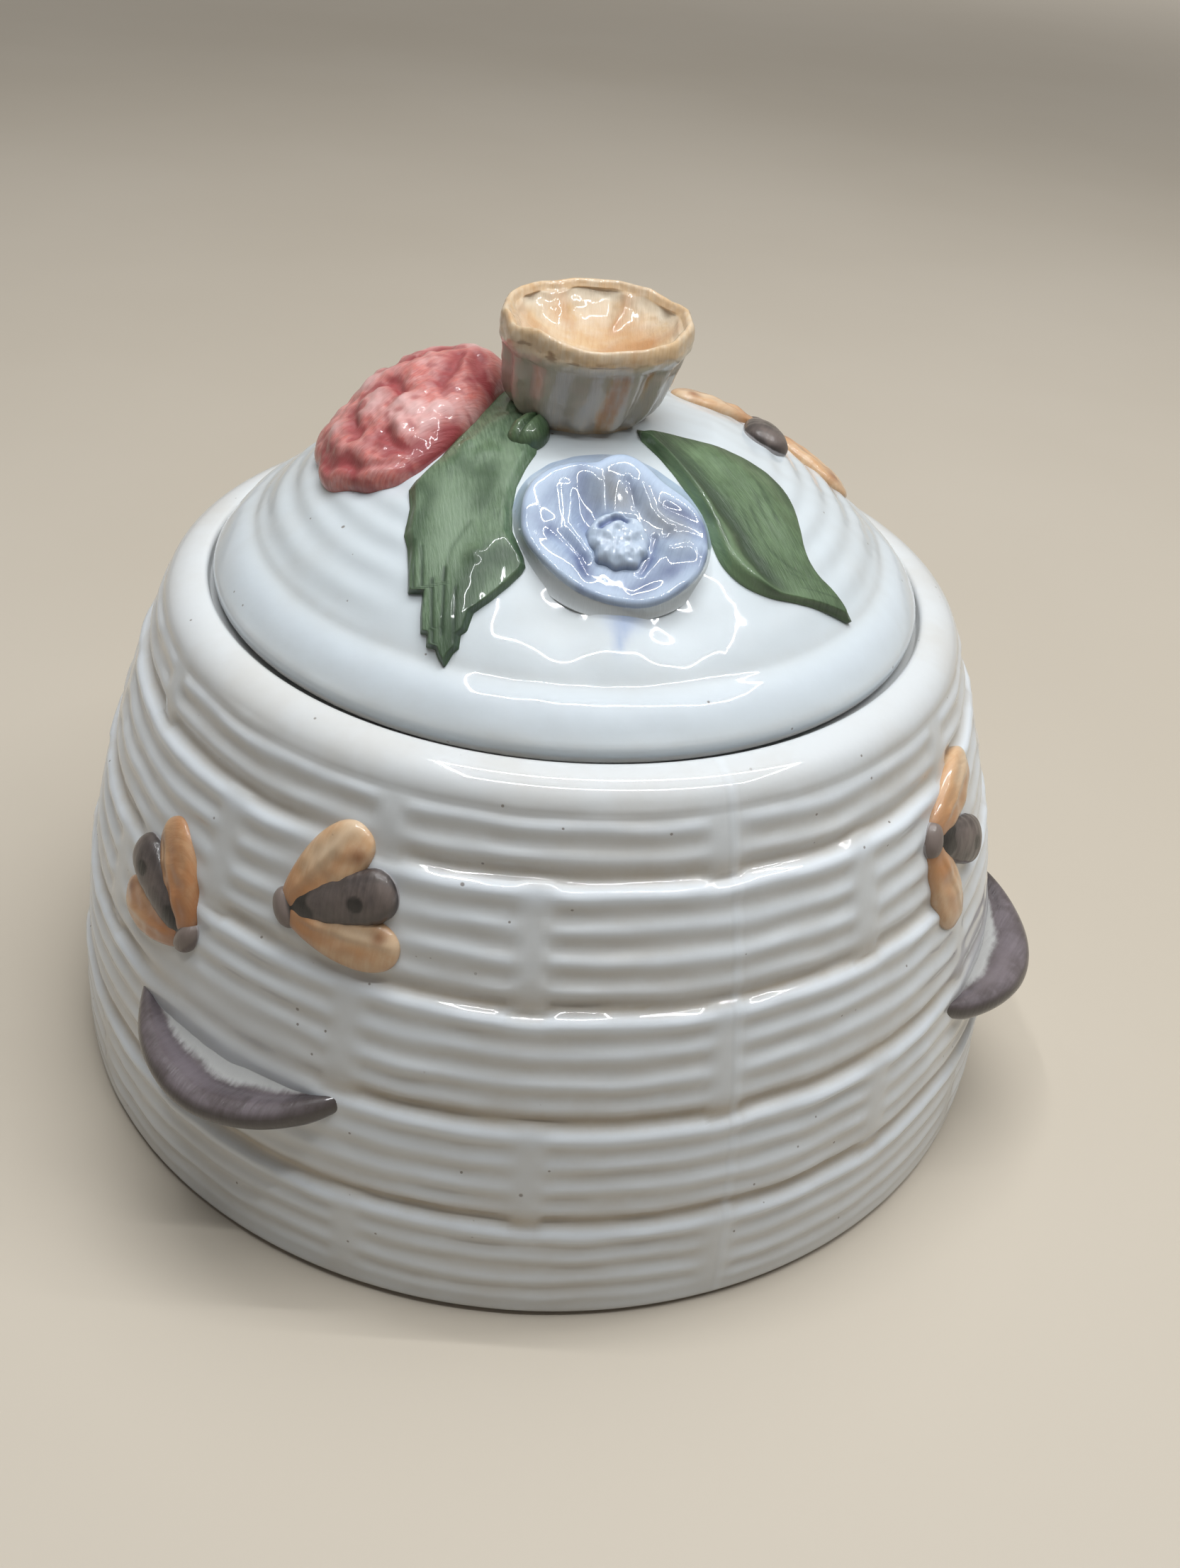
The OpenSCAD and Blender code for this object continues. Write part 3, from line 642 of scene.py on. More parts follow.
stalk = [(0.0, 84.4), (7.0, 84.4), (7.1, 87.2), (8.1, 88.0), (9.1, 89.2), (9.7, 91.0), (10.2, 93.4),
    (10.5, 95.3), (11.0, 95.7), (11.4, 96.5), (11.6, 97.8), (11.6, 99.1), (11.25, 99.95), (10.7, 99.9),
    (10.3, 99.2), (9.4, 97.9), (7.6, 96.4), (4.8, 95.1), (2.0, 94.6), (0.0, 94.5)]
bm = revolve(cut_corners(stalk, 3), 240)
layer = mark_layers(bm)
for v in bm.verts:
    r, a, z = hypot(v.co.x, v.co.y), atan2(v.co.x, -v.co.y), v.co.z
    if r < 0.01:
        continue
    out = Vector((v.co.x / r, v.co.y / r, 0))
    crumple = wander(2.1 * cos(a), 2.1 * sin(a), 0.4)
    fine = wander(v.co.x, v.co.y, z, 1.1)
    drift = a + 0.12 * noise.noise(Vector((cos(a), sin(a), z / 6)) * 1.3)
    collar = ease(95.1, 95.9, z)
    if z < 94.4 or r > 10.15:
        flute = cos(FLUTES * drift)
        v.co += out * (0.38 * flute * (1 - 0.75 * collar) * ease(86.5, 88.5, z) + 0.1 * fine)
        run = wander(cos(drift) * 4, sin(drift) * 4, z / 14)
        streak = ease(0.08, 0.42, run) * max(0.0, -flute) + 0.9 * bell(drift - 0.38, 0.07)
        v[layer["pool"]] = min(1.0, streak * (1 - 0.7 * collar) * ease(86.8, 89, z))
        v[layer["thin_and_highlight"]] = 0.5 * max(0.0, flute) * (1 - collar) + 0.8 * bell(z - 96.4, 0.9)
        speck = collar * ease(0.1, 0.34, wander(a * 8, z * 1.3, 3))
        band = ease(96.2, 97.2, z) * (1 - ease(98.4, 99.0, z)) * bell(a + 0.6, 1.0)
        # the speckled band is rough brown glaze; the dark ring at the foot of the collar is a painted shadow
        # under its overhang
        v[layer["dark"]] = min(1.0, 0.7 * speck * band + 0.45 * bell(z - 95.3, 0.35))
        wash_up = 0.5 * ease(95.6, 97.4, z) + 0.3 * bell(z - 87.4, 0.7)
        v[layer["paint"]] = 0.3 + wash_up + 0.4 * v[layer["pool"]]
    else:
        fold = cos(6 * a + 2.2 * crumple)
        wall = ease(94.9, 96.2, z) * (1 - ease(98.9, 99.6, z))
        v.co += out * (0.42 * fold * wall + 0.12 * fine)
        v.co.z += 0.3 * wander(v.co.x, v.co.y, 6, 3)
        pooled = 0.95 * (1 - ease(5.5, 9.3, r)) * (0.55 + 0.45 * cos(a - 0.9)) + 0.45 * max(0.0, -fold) * wall
        v[layer["pool"]] = min(1.0, max(0.0, pooled))
        v[layer["thin_and_highlight"]] = 0.7 * ease(8.8, 9.8, r) + 0.5 * max(0.0, fold) * wall
        v[layer["paint"]] = 1.0
    rise = ease(95.6, 98.6, z) * ease(6.5, 9.5, r)
    dip = 0.5 + 0.5 * cos(a - 0.25) + 0.5 * crumple + 0.22 * cos(5 * a + 1)
    v.co.z -= rise * max(0.0, min(1.7, 1.2 * dip)) * (0.4 + 0.6 * ease(96, 99, z))
    v.co += out * rise * (0.3 * crumple - 0.2)
    v.co.x += KNOB_LEAN * ease(88, 98, z)  # it stands a little aslant
# the stalk's bare glaze is greyer and browner than the pot's: partly its own glaze colour, partly painted
# shade
knob_paint = painted("knob_paint", (0.64, 0.55, 0.42, 1), (0.58, 0.4, 0.22, 1), (0.42, 0.2, 0.07, 1),
                     (0.2, 0.11, 0.055, 1), strokes=0.25, blotches=0.6, coat=0.9, brush=0.7,
                     bare_glaze_and_shade=(0.42, 0.37, 0.31, 1))
knob = fire(bm, "skep_top", knob_paint)
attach(knob, "lid")
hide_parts("lid_knob")

# THE ROSE
# A crumpled rose of rolled clay petals, pressed flat against the dome beside the knob. It is brushed
# coral pink, pale on the petals' crests and dark red where the colour has run into the creases.


def press(spokes, rings):
    """A ball to press into a sprig: its upper half becomes the face, its lower half the flat back."""
    bm = bmesh.new()
    bmesh.ops.create_uvsphere(bm, u_segments=spokes, v_segments=rings, radius=1)
    return bm, mark_layers(bm)


def along_line(points, at):
    """Straight reading of a line of (position, value) points, in rising order of position."""
    if at <= points[0][0]:
        return points[0][1]
    for (a, b), (c, d) in zip(points, points[1:]):
        if at <= c:
            return b + (d - b) * (at - a) / (c - a)
    return points[-1][1]


def outline(points):
    """Reach of a closed outline over its angle, from given (degrees, reach) points, made smooth."""
    first, last = points[0], points[-1]
    return cut_corners([(last[0] - 360.0, last[1])] + points + [(first[0] + 360.0, first[1])], 3)


def near(x, y, line, width):
    """1 on a line of plan points and less beside it, width millimetres being its half width."""
    best, reach = 1e9, 2.2 * width
    for (ax, ay), (bx, by) in zip(line, line[1:] or line):
        if not (min(ax, bx) - reach < x < max(ax, bx) + reach
                and min(ay, by) - reach < y < max(ay, by) + reach):
            continue
        dx, dy = bx - ax, by - ay
        t = min(max(((x - ax) * dx + (y - ay) * dy) / (dx * dx + dy * dy or 1), 0), 1)
        best = min(best, (x - ax - t * dx) ** 2 + (y - ay - t * dy) ** 2)
    return exp(-best / width**2)


ROSE_X, ROSE_Y = -21.0, -1.1
ROSE_EDGE = outline([(10, 11.0), (22, 12.6), (38, 15.6), (52, 15.6), (75, 13.8), (100, 12.2), (130, 11.8),
    (160, 11), (189, 10.8), (203, 10.2), (217, 11.6), (236, 13), (247, 12.5), (260, 13.9), (276, 13.7),
    (294, 11.4), (315, 9.9), (335, 9.6)])
# Crests of the crumpled petals (x, y, width, height) and the creases between them
ROSE_CRESTS = ((-23.4, 4.0, 3.0, 1.2), (-23.6, -2.4, 2.3, 1.2), (-27.4, -3.6, 2.4, 0.8),
    (-19.4, -5.6, 2.6, 1.1), (-18.2, 8.8, 3.0, 1.2), (-13.4, 7.6, 2.6, 1.1), (-12.8, -5.6, 2.4, 0.7),
    (-16.6, 2.6, 2.2, 0.6), (-25.4, -8.4, 2.6, 0.5), (-28.2, 1.4, 2.2, 0.6))
ROSE_CREASES = (((-22.7, 7.6), (-21.0, 4.8), (-19.0, 4.6)), ((-15.6, -2.0), (-14.6, 0.8), (-14.2, 3.6)),
    ((-11.8, -1.0), (-12.2, 4.0)), ((-25.2, -1.6), (-25.4, -5.4), (-24.0, -6.6)), ((-22.0, -9.0),
    (-20.6, -11.4), (-18.2, -11.9), (-16.0, -10.8), (-13.8, -8.4)), ((-29.2, -5.6), (-27.0, -9.4),
    (-24.4, -12.0)), ((-21.4, 0.4), (-20.0, -2.4)), ((-17.8, 6.0), (-15.2, 6.8)))
ROSE_FOLD = ((-29.6, -7.2), (-27.0, -10.8), (-23.4, -13.0), (-18.4, -13.6), (-14.8, -11.8), (-12.2, -7.6),
    (-10.6, -2.6))
bm, layer = press(230, 170)
for v in bm.verts:
    unit, theta = min(hypot(v.co.x, v.co.y), 1.0), atan2(v.co.y, v.co.x)
    reach = along_line(ROSE_EDGE, degrees(theta) % 360) * unit
    x, y = ROSE_X + reach * cos(theta), ROSE_Y + reach * sin(theta)
    if v.co.z < -0.0001:
        v.co = on_dome(x, y, -0.8)
        continue
    sway = Vector((x / 3.2, y / 3.2, 5))
    wx, wy = x + 0.8 * noise.noise(sway), y + 0.8 * noise.noise(sway + Vector((9, 0, 0)))
    crest = max(tall * bell(hypot(wx - cx, wy - cy), wide) for cx, cy, wide, tall in ROSE_CRESTS)
    # the long crest below the middle lies like a finger
    crest = max(crest, 1.3 * near(wx, wy, ((-19.8, -8.6), (-17.4, -8.6), (-15.0, -6.4)), 1.5))
    crease = max(near(wx, wy, line, 0.95) for line in ROSE_CREASES)
    fold = near(wx, wy, ROSE_FOLD, 0.7)
    crumple = wander(x, y, 5, 1.5)
    h = (3.3 + 2.7 * ease(-30, -19, x) * ease(-10, 5, y)) * (1 - unit**4.5) ** 0.5
    relief = 0.5 * crest - 0.6 * crease - 0.7 * fold + 0.3 * crumple + 0.14 * wander(x, y, 2, 0.75)
    h += relief * (1 - unit**7)
    h += 0.4 * near(x, y, ((-27.0, -12.4), (-22.0, -14.4), (-18.0, -15.0)), 1.5) * (1 - unit**8)
    v.co = on_dome(x, y, h)
    soft = max(near(wx, wy, line, 2.0) for line in ROSE_CREASES)
    deep = 0.9 * crease + 0.4 * soft * (0.7 + crumple) + 0.3 * fold + 0.6 * ease(0.16, 0.42, -crumple)
    v[layer["pool"]] = min(1.0, max(0.0, deep))
    v[layer["thin_and_highlight"]] = max(0.0, min(1.0, 0.9 * ease(0.25, 0.9, crest) * (1 - 0.7 * soft) * (0.95 + crumple)))
    v[layer["paint"]] = 1.0
rose_paint = painted("rose_paint", (0.62, 0.37, 0.35, 1), (0.58, 0.16, 0.13, 1), (0.27, 0.04, 0.045, 1),
                     (0.2, 0.03, 0.03, 1), turn=50, strokes=0.45, blotches=0.6, coat=0.5, brush=0.45)
rose = fire(bm, "rose", rose_paint)
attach(rose, "lid")
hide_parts("pink_rose")

# THE BLUE FLOWER
# Five thick petals that lap over each other round a shallow bowl, with a knot of curled stamens in it.
# A wash of blue has run off the rims and lies in the bowl, and a drop of it has run down the lid.

FLOWER_X, FLOWER_Y, FLOWER_R = 4.5, -20.4, 11.6
RIM_X, RIM_Y, RIM_FRONT_H, RIM_BACK_H = 4.4, -25.0, 1.35, 3.3
RIM_AT, SKIRT_AT = 0.7, 0.82  # where on the way out the rounded lip begins and ends
FLOWER_RIM = outline([(18, 9.7), (32, 9.4), (50, 8.3), (65, 8.4), (80, 9.6), (96, 8.6), (107, 7.2),
    (124, 8.4), (138, 9.4), (154, 9.9), (172, 9.3), (186, 8.9), (204, 7.7), (222, 6.9), (244, 6.5),
    (266, 6.4), (284, 6.7), (303, 7.4), (320, 7.9), (336, 8.5), (352, 9.4)])
# Brush strokes of blue where the wash has run into the folds, then the olive stain
BLUE_STROKES = (((10.1, -20.8), (12.0, -21.3), (13.7, -22.2), (14.3, -23.4), 0.75, 1.0), ((-2.0, -25.6),
    (-0.4, -26.7), (1.2, -28.2), (2.0, -29.7), 0.8, 0.9), ((0.6, -18.6), (1.2, -21.8),
    (1.6, -24.2), 1.0, 0.55), ((5.6, -18.4), (6.6, -20.9), 0.45, 0.75), ((1.4, -31.6), (4.0, -32.5),
    (6.3, -32.8), (8.9, -32.3), (11.0, -31.0), (12.7, -29.2), 0.6, 0.8), ((7.0, -30.7), (9.1, -29.2),
    (11.7, -27.4), (14.6, -25.2), 0.8, 0.7), ((9.0, -24.4), (8.7, -26.7), (7.8, -28.6), 0.45, 0.9),
    ((10.0, -24.2), (11.0, -23.2), (14.0, -23.6), 0.5, 0.6), ((3.4, -23.6), (5.0, -22.8),
    (6.4, -22.9), 0.6, 0.8), ((-5.0, -24.0), (-3.0, -26.6), 1.2, 0.35))


def flower_height(x, y, share, rim_h):
    """Height in the bowl of the flower, share of the way out to its rim."""
    folds = 0.5 * near(x, y, ((-1.0, -20.6), (-0.2, -24.4), (2.0, -27.2)), 1.0)
    folds += 0.75 * near(x, y, ((10.6, -25.4), (12.4, -24.6), (14.4, -25.4)), 1.1)
    folds += 0.45 * near(x, y, ((7.6, -18.8), (8.6, -21.4), (11.2, -23.0)), 0.9)
    folds += 0.35 * near(x, y, ((3.0, -19.6), (3.4, -22.6)), 0.8)
    folds -= 0.35 * max(near(x, y, stroke[:-2], stroke[-2]) * stroke[-1] for stroke in BLUE_STROKES)
    return 1.0 + (rim_h - 1.0) * (4 * share**3 - 3 * share**4) + folds * (1 - share**5)


bm, layer = press(250, 200)
for v in bm.verts:
    unit, phi = min(hypot(v.co.x, v.co.y), 1.0), atan2(v.co.y, v.co.x)
    reach = along_line(FLOWER_RIM, degrees(phi) % 360)
    rim = Vector((RIM_X + reach * cos(phi), RIM_Y + reach * sin(phi)))
    up = 0.5 + 0.5 * sin(phi)
    rim_h = RIM_FRONT_H + (RIM_BACK_H - RIM_FRONT_H) * up**0.8 + 0.35 * cos(3 * phi + 0.6) * up
    share = min(unit / RIM_AT, 1.0)
    spot = Vector((RIM_X, RIM_Y)).lerp(rim, share)
    h = flower_height(spot.x, spot.y, share, rim_h)
    if unit > RIM_AT:
        # over the rounded lip, then down the skirt to the foot
        foot_away = Vector((cos(phi), sin(phi)))
        foot = Vector((FLOWER_X, FLOWER_Y)) + foot_away * (FLOWER_R + 1.1 * (1 - up))
        turn = min((unit - RIM_AT) / (SKIRT_AT - RIM_AT), 1.0)
        round_r = 0.55 + 0.3 * up
        lip = rim + foot_away * round_r * sin(turn * 1.75)
        lip_h = rim_h - round_r * (1 - cos(turn * 1.75))
        fallen = max(unit - SKIRT_AT, 0) / (1 - SKIRT_AT)
        down = 0.5 * ease(0, 1, fallen) + 0.5 * fallen
        spot, h = lip.lerp(foot, down), lip_h * (1 - down) ** 2 - 0.5 * down
    x, y = spot
    if v.co.z < -0.0001:
        v.co = on_dome(x, y, -0.8)
        continue
    clouds = wander(x, y, 3, 2.6)
    h += 0.14 * clouds * (1 - unit**6)
    v.co = on_dome(x, y, h)
    blue = max(near(x, y, stroke[:-2], stroke[-2] * 1.1) * stroke[-1] for stroke in BLUE_STROKES)
    bowl = 1 - ease(0.78, 0.97, share)
    v[layer["pool"]] = min(1.0, max(0.0, blue * (0.7 + 0.5 * clouds) + 0.12 * bowl * (1 + 2 * clouds)))
    v[layer["thin_and_highlight"]] = max(0.0, (1 - bowl) * 0.9 - 0.6 * blue)
    olive = near(x, y, ((3.4, -19.8), (6.8, -21.2), (11.0, -23.2)), 2.1)
    v[layer["dark"]] = 0.75 * olive * bowl * (0.8 + 0.5 * clouds)
    v[layer["paint"]] = (1 - ease(0.79, 0.87, unit) * (0.15 + 0.85 * ease(0.7, 0.25, up))
                         - 0.3 * ease(0.95, 1, unit))
petal_paint = painted("petal_paint", (0.4, 0.49, 0.62, 1), (0.29, 0.37, 0.5, 1), (0.065, 0.1, 0.22, 1),
                      (0.2, 0.2, 0.19, 1), turn=20, strokes=0.22, blotches=0.55, coat=1.0)
flower = fire(bm, "flower_petals", petal_paint)
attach(flower, "lid")
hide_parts("blue_flower_petals")

KNOT_X, KNOT_Y = 5.1, -25.6
bm, layer = press(140, 80)
for v in bm.verts:
    unit, phi = min(hypot(v.co.x, v.co.y), 1.0), atan2(v.co.y, v.co.x)
    wavy = 1 + 0.2 * wander(2.2 * cos(phi), 2.2 * sin(phi), 4)
    x, y = KNOT_X + v.co.x * 3.5 * wavy, KNOT_Y + v.co.y * 3.2 * wavy
    slit = near(x, y, ((3.1, -24.6), (4.2, -23.7), (5.6, -23.4)), 0.42)
    crest = near(x, y, ((2.5, -24.5), (4.0, -23.0), (5.8, -22.8), (7.4, -23.7)), 0.6)
    h = 2.0 * (1 - unit**3.2) ** 0.5 - 0.9 * slit + 0.3 * crest - 0.35 * bell(hypot(x - 5.4, y + 26.1), 1.1)
    h += (0.45 * wander(x, y, 3, 1.2) + 0.1 * wander(x, y, 7, 0.5)) * (1 - unit**6)
    v.co = on_dome(x, y, 0.8 + h if v.co.z > -0.0001 else -1.0)
    v[layer["pool"]] = min(1.0, slit + 0.5 * ease(0.86, 1, unit))
    v[layer["thin_and_highlight"]] = min(1.0, crest + 0.7 * ease(0.9, 2.2, h))
    v[layer["paint"]] = 0.9
centre_paint = painted("centre_paint", (0.45, 0.53, 0.63, 1), (0.34, 0.42, 0.53, 1), (0.08, 0.12, 0.26, 1),
                       (0.2, 0.22, 0.28, 1), strokes=0.2, blotches=0.5, coat=1.0)
centre = fire(bm, "flower_knot", centre_paint)
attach(centre, "lid")
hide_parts("blue_flower_centre")

# THE LEAVES
# Two leaves cut from a thin slab and laid on the dome on both sides of the flower. The left one has a
# stepped, torn edge, and the right one a folded midrib and a curled edge. Both are brushed green.

LEAF_T, LEAF_EDGE = 1.0, 0.25


def lay_leaf(name, across, along, shape, material):
    """A leaf from a flat grid, thickened to a slab and then laid on the dome by shape(u, v)."""
    bm = bmesh.new()
    bmesh.ops.create_grid(bm, x_segments=across, y_segments=along, size=1)
    bmesh.ops.solidify(bm, geom=bm.faces[:], thickness=0.1)
    layer = mark_layers(bm)
    known = {}
    for v in bm.verts:
        spot = round(v.co.x, 5), round(v.co.y, 5)
        if spot not in known:
            known[spot] = shape((v.co.x + 1) / 2, (v.co.y + 1) / 2)
        x, y, h, marks = known[spot]
        for key, value in marks.items():
            v[layer[key]] = min(max(value, 0.0), 1.0)
        v.co = on_dome(x, y, h if abs(v.co.z) < 0.05 else -0.8)
    return fire(bm, name, material)


LEFT_TOP, LEFT_LEN = 3.5, 41.2
LEFT_EDGE = [(0, -9.8), (2.7, -10.8), (9.5, -12.9), (16, -15.9), (18.9, -18.1), (20.2, -18.7),
    (23.1, -18.2), (26.7, -18.4), (28.5, -17.8), (31, -17.4), (33.6, -17.1), (33.9, -15.5), (36.3, -15.4),
    (37.9, -15.2), (38.1, -14.5), (39.3, -14.4), (39.5, -13.5), (40.3, -13.1), (41.2, -12.4)]
RIGHT_EDGE = [(0, -9.0), (2.2, -7.6), (4.5, -6.6), (7.8, -5.2), (12, -4.6), (15.8, -4.7), (18.8, -5.7),
    (21.8, -6.5), (25.1, -6.7), (28.1, -6.4), (31.2, -4.9), (32.2, -4.6), (33, -5), (34.2, -6.2),
    (35.6, -7.9), (36.7, -9.7), (38.4, -10.2), (38.6, -10.8), (39.9, -10.9), (40.1, -11.4), (41.2, -12.2)]
SLATS = (((-15.9, -25.6), (-15.6, -27.4), (-15.2, -31.2)), ((-14.3, -29.6), (-14.0, -32.0),
    (-13.4, -36.6)), ((-13.1, -28.6), (-12.8, -31.4), (-12.6, -35.0)), ((-11.6, -31.0), (-11.3, -35.8)),
    ((-16.9, -24.6), (-16.2, -30.6)))


def left_leaf_shape(u, v):
    down = LEFT_LEN * v
    left, right = along_line(LEFT_EDGE, down), along_line(RIGHT_EDGE, down)
    x, y = left + (right - left) * u, LEFT_TOP - down
    edge = min(u, 1 - u) * (right - left)
    ends = min(down + 0.3, LEFT_LEN + 0.2 - down)
    low = ease(28, 32, down)
    dome = ease(0, 1.2 - 0.7 * low, min(edge, ends))
    slat = max(near(x, y, line, 0.2) for line in SLATS)
    ruled = near(x, y, ((-11.0, -23.5), (-12.6, -26.4), (-13.0, -29.5)), 0.3)
    h = LEAF_EDGE + (LEAF_T - LEAF_EDGE) * dome - 0.06 * slat * dome - 0.03 * ruled
    h += 0.2 * dome * wander(x, y, 1, 7) + 0.04 * wander(x, y, 2, 1.4)
    h += 0.45 * near(x, y, ((-8.4, -6.5), (-11.2, -10.4), (-14.0, -14.6)), 1.8) * dome
    h += 0.3 * near(x, y, ((-8.6, -26.0), (-10.6, -29.8), (-12.0, -33.6)), 2.0) * dome
    for bump_x, bump_y, size in ((-12.4, -11.6, 0.9), (-10.2, -13.2, 1.5), (-10.0, -27.6, 1.0)):
        h += 0.4 * bell(hypot(x - bump_x, y - bump_y), size)
    pale = near(x, y, ((-14.6, -19.0), (-12.8, -23.0), (-12.9, -27.0)), 2.4)
    pale += 0.7 * near(x, y, ((-7.6, -12.0), (-7.8, -18.0)), 1.0)
    pale += 0.35 * near(x, y, ((-5.6, -30.0), (-8.8, -32.0)), 0.8)
    pale += 0.4 * near(x, y, ((-15.6, -32.6), (-16.6, -27.0)), 0.7)
    shade = near(x, y, ((-17.2, -17.0), (-15.8, -18.8), (-17.0, -24.6)), 1.1)
    shade += near(x, y, ((-9.4, -16.0), (-9.9, -21.0)), 1.2)
    shade += near(x, y, ((-6.0, -27.6), (-9.6, -28.4), (-10.6, -32.0), (-11.6, -36.4)), 1.6)
    shade += 0.8 * (1 - ease(4, 12, down)) + 0.7 * near(x, y, ((-13.4, -14.0), (-11.0, -16.6)), 0.9)
    return x, y, h, {"pool": 0.8 * slat + 0.5 * ruled + 0.75 * shade + 0.5 * (1 - ease(0.1, 0.9, edge)),
                     "thin_and_highlight": 0.85 * pale, "paint": 0.85 + 0.3 * ease(0, 0.8, edge),
                     "dark": 0.85 * slat * low + 0.35 * shade * low}


green_paint = painted("leaf_paint", (0.175, 0.25, 0.16, 1), (0.083, 0.145, 0.072, 1), (0.025, 0.06, 0.026, 1),
                      (0.012, 0.035, 0.016, 1), turn=-12, strokes=0.7, blotches=0.5, coat=0.45, brush=0.5)
left_leaf = lay_leaf("left_leaf", 64, 210, left_leaf_shape, green_paint)
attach(left_leaf, "lid")
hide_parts("leaf_left")

# The right leaf row by row from the knob to its tip: along, upper edge x and y, lower edge x and y
RIGHT_ROWS = cut_corners([(0, 6.8, -4.8, 7.4, -7.2), (0.1, 12.1, -4.5, 9.6, -10.4),
    (0.2, 17.6, -4.8, 12.5, -14.8), (0.3, 21.8, -5.0, 13.9, -17.2), (0.4, 24.8, -6.8, 14.9, -19.4),
    (0.5, 26.2, -10.1, 15.9, -22.1), (0.6, 26.7, -13.2, 17.1, -24.3), (0.7, 27.1, -16.0, 19.6, -25.3),
    (0.78, 28.6, -18.3, 22.5, -25.2), (0.87, 30.6, -18.8, 25.8, -23.8), (0.95, 32.3, -19.8, 29.6, -22.3),
    (1.0, 33.1, -20.9, 32.7, -21.3)], 2)
FOLD_W = [(0, 1.0), (0.2, 1.3), (0.4, 2.0), (0.52, 3.0), (0.66, 2.4), (0.8, 1.0), (1.0, 0.4)]


def right_leaf_shape(u, v):
    high_x, high_y, low_x, low_y = (along_line([(row[0], row[i]) for row in RIGHT_ROWS], v)
                                    for i in (1, 2, 3, 4))
    x, y = low_x + (high_x - low_x) * u, low_y + (high_y - low_y) * u
    wide = hypot(high_x - low_x, high_y - low_y)
    edge, in_from_low = min(u, 1 - u) * wide, u * wide
    fold_w = along_line(FOLD_W, v)
    tip = ease(0, 0.06, min(v + 0.02, 1.02 - v))
    dome = ease(0, 1.1, edge) * tip
    fold = (1 - ease(0.5, 1.35, in_from_low / fold_w)) * (1 - ease(0.7, 0.85, v))
    # the leaf dips a little beside its curled edge and is painted dark there as shade
    shaded_valley = bell(in_from_low - fold_w - 0.7, 1.3) * (1 - ease(0.7, 0.85, v)) * ease(0, 0.1, v)
    h = LEAF_EDGE + (LEAF_T - LEAF_EDGE) * dome + 0.65 * fold * ease(0, 0.8, edge) - 0.12 * shaded_valley
    h += 0.2 * wander(x, y, 8, 7) * dome + 0.04 * wander(x, y, 2, 1.3)
    h += 0.35 * near(x, y, ((16.0, -7.6), (21.2, -10.4), (24.0, -15.4)), 2.2)
    # the pale streak down the middle of the leaf, over its swell, is a painted highlight
    centre = near(x, y, ((14.0, -8.6), (19.6, -12.0), (23.0, -17.6)), 2.2)
    lobe = near(x, y, ((18.4, -24.2), (22.4, -23.8), (26.0, -23.0)), 1.3)
    streak = wander(in_from_low * 1.3, v * 6, 3)
    deep = 0.95 * shaded_valley + 0.55 * (1 - ease(0.1, 1.1, edge)) * (1 - fold) + 0.5 * ease(0.1, 0.5, streak)
    deep += 0.6 * near(x, y, ((10.0, -5.8), (16.0, -5.6), (22.6, -6.4), (25.4, -10.6)), 1.2)
    return x, y, h, {"pool": deep,
                     "thin_and_highlight": 0.8 * fold + 0.6 * lobe + 0.6 * centre * (0.6 - streak),
                     "paint": 1 - 0.2 * fold, "dark": 0.6 * shaded_valley + 0.35 * ease(0.86, 0.97, v)}


dark_green_paint = painted("dark_leaf_paint", (0.125, 0.2, 0.1, 1), (0.046, 0.092, 0.034, 1),
                           (0.014, 0.042, 0.014, 1), (0.009, 0.028, 0.011, 1), turn=-38, strokes=0.6,
                           blotches=0.45, coat=0.5, brush=0.5)
right_leaf = lay_leaf("right_leaf", 64, 170, right_leaf_shape, dark_green_paint)
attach(right_leaf, "lid")
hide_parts("leaf_right")

# The bud is a pinch of the same clay at the foot of the knob, with a crease down its middle
BUD_X, BUD_Y = -5.6, -8.9
bm, layer = press(64, 40)
for v in bm.verts:
    unit = min(hypot(v.co.x, v.co.y), 1.0)
    x, y = turned(v.co.x * 3.3, v.co.y * 2.2 * (1 - 0.25 * v.co.x), 64)
    crease = bell(v.co.y, 0.14)
    h = 2.8 * (1 - unit**2.6) ** 0.5 * (1 - 0.16 * crease) + 0.15 * wander(x, y, 1)
    v.co = on_dome(BUD_X + x, BUD_Y + y, h if v.co.z > -0.0001 else -0.6)
    v[layer["pool"]] = max(0.7 * crease, 0.8 * ease(0.8, 1, unit))
    v[layer["thin_and_highlight"]] = 0.4 * ease(2, 3, h)
    v[layer["paint"]] = 1.0
bud = fire(bm, "bud", dark_green_paint)
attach(bud, "lid")
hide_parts("leaf_bud")

# THE BEE ON THE LID
# The same bee of painted clay, pressed once more and stuck on the far right of the dome, with its
# wings spread wide. It is glazed over together with the lid.

LID_BEE_AZ, LID_BEE_R, LID_BEE_TURN, LID_BEE_SPREAD = 115.0, 26.1, 151.0, 66.0


def lid_bee_place(x, y, h):
    a = radians(LID_BEE_AZ)
    lean = atan(LID_RISE * DOME_POWER / LID_R * (LID_BEE_R / LID_R) ** (DOME_POWER - 1))
    r = LID_BEE_R - y * cos(lean)
    return on_dome(r * sin(a) + x * cos(a), -r * cos(a) + x * sin(a), h)


press_bee("bee_lid", "lid", lid_bee_place, LID_BEE_TURN, LID_BEE_SPREAD, wing_paint, pale_head=0.3)

# THE TABLE AND THE LIGHT
# A pale, warm, plain table top, a broad soft light overhead and the thin square of lamps round it
# that the glaze mirrors. The camera stands where the photographer stood.

BACKDROP = (0.5, 0.455, 0.39, 1)


def looked_at(tree):
    """1 where the camera or a mirror looks, 0 for the light that falls on the pot."""
    path = add(tree, "LightPath")
    mirror = calc(tree, "MAXIMUM", path.outputs["Is Glossy Ray"], path.outputs["Is Transmission Ray"])
    return calc(tree, "MAXIMUM", path.outputs["Is Camera Ray"], mirror)


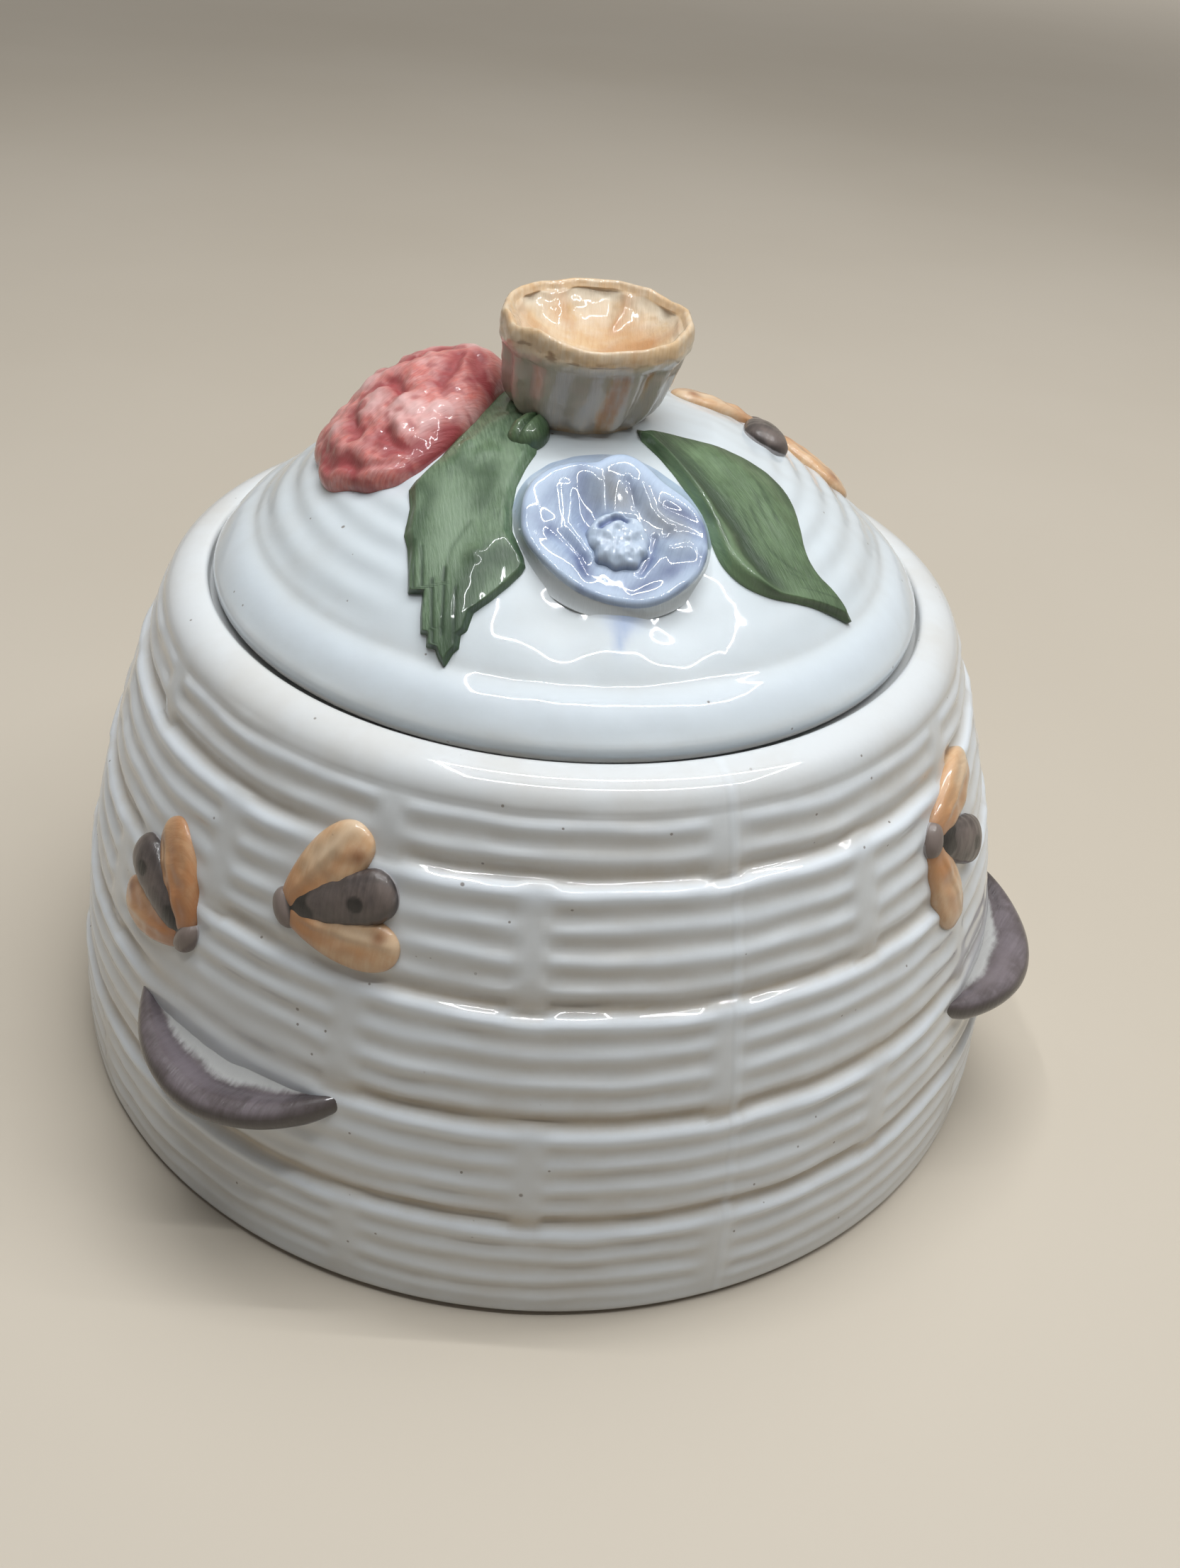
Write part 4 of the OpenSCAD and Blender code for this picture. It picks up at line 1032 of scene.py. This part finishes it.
material, tree = new_material("table_top")
where = here(tree)
grain = cloudy(tree, where, 3.0, 6.0)
colour = tint(tree, remap(tree, grain, 0.35, 0.65), (0.46, 0.405, 0.33, 1), (0.49, 0.435, 0.36, 1))
# far from the pot the table fades into the backdrop
far = remap(tree, add(tree, "VectorMath", {"Vector": where}, operation="LENGTH").outputs["Value"], 0.6, 1.8)
glow = tint(tree, calc(tree, "MULTIPLY", far, looked_at(tree)), (0, 0, 0, 1), BACKDROP)
shader = add(tree, "BsdfPrincipled", {"Base Color": colour, "Roughness": 0.65, "Specular IOR Level": 0.25,
                                      "Emission Color": glow, "Emission Strength": 0.8})
add(tree, "OutputMaterial", {"Surface": shader.outputs["BSDF"]})
bm = bmesh.new()
bmesh.ops.create_circle(bm, cap_ends=True, segments=96, radius=3.0)
mesh = bpy.data.meshes.new("table_top")
bm.to_mesh(mesh)
bm.free()
mesh.materials.append(material)
table = bpy.data.objects.new("table_top", mesh)
bpy.context.scene.collection.objects.link(table)


def lamp(name, place, aim, size, power, colour, mirrored=False):
    light = bpy.data.lights.new(name, "AREA")
    light.shape = "RECTANGLE"
    light.size, light.size_y = size
    light.energy, light.color = power, colour
    made = bpy.data.objects.new(name, light)
    made.location = place
    made.rotation_euler = (Vector(aim) - Vector(place)).to_track_quat("-Z", "Y").to_euler()
    made.visible_glossy = mirrored
    bpy.context.scene.collection.objects.link(made)


middle = (0.0, 0.0, 0.06)
lamp("overhead", (0.12, 0.16, 0.95), middle, (0.75, 0.55), 5.4, (0.98, 0.99, 1.0))
lamp("front_fill", (-0.5, -1.1, 0.7), middle, (0.9, 0.6), 0.25, (0.93, 0.96, 1.0))
FRAME_Z = 0.66
left_x, right_x, near_y, far_y = -0.16, 0.46, -0.19, 0.09
bar = 0.005
for name, x, y, wide, deep in (("lamp_bar_near", (left_x + right_x) / 2, near_y, right_x - left_x, bar),
                               ("lamp_bar_far", (left_x + right_x) / 2, far_y, right_x - left_x, bar),
                               ("lamp_bar_left", left_x, (near_y + far_y) / 2, bar, far_y - near_y),
                               ("lamp_bar_right", right_x, (near_y + far_y) / 2, bar, far_y - near_y)):
    lamp(name, (x, y, FRAME_Z), (x, y, 0), (wide, deep), 2.6 * max(wide, deep), (0.95, 0.98, 1.0), True)

world = bpy.data.worlds.new("studio")
world.use_nodes = True
bpy.context.scene.world = world
tree = world.node_tree
tree.nodes.clear()
seen = looked_at(tree)
colour = tint(tree, seen, (0.8, 0.86, 0.95, 1), BACKDROP)
strength = calc(tree, "ADD", calc(tree, "MULTIPLY", seen, 0.88), 0.12)
sky = add(tree, "Background", {"Color": colour, "Strength": strength})
add(tree, "OutputWorld", {"Surface": sky.outputs["Background"]})

PHOTO_LENS, PHOTO_PLACE = 47.568, (0, -0.181042, 0.157633)
camera = bpy.data.cameras.new("camera")
camera.sensor_fit = "HORIZONTAL"
camera.sensor_width = 36.0
camera.lens = PHOTO_LENS
camera.clip_start = 0.01
viewer = bpy.data.objects.new("camera", camera)
forward = Vector((0.02518502, 0.82229226, -0.56850783)).normalized()
upward = Vector((-0.08086326, 0.56850039, 0.81869924)).normalized()
sideways = forward.cross(upward)
viewer.matrix_world = Matrix.Translation(PHOTO_PLACE) @ Matrix(
    (sideways, upward, -forward)).transposed().to_4x4()
bpy.context.scene.collection.objects.link(viewer)
bpy.context.scene.camera = viewer
bpy.context.scene.view_settings.view_transform = "Standard"
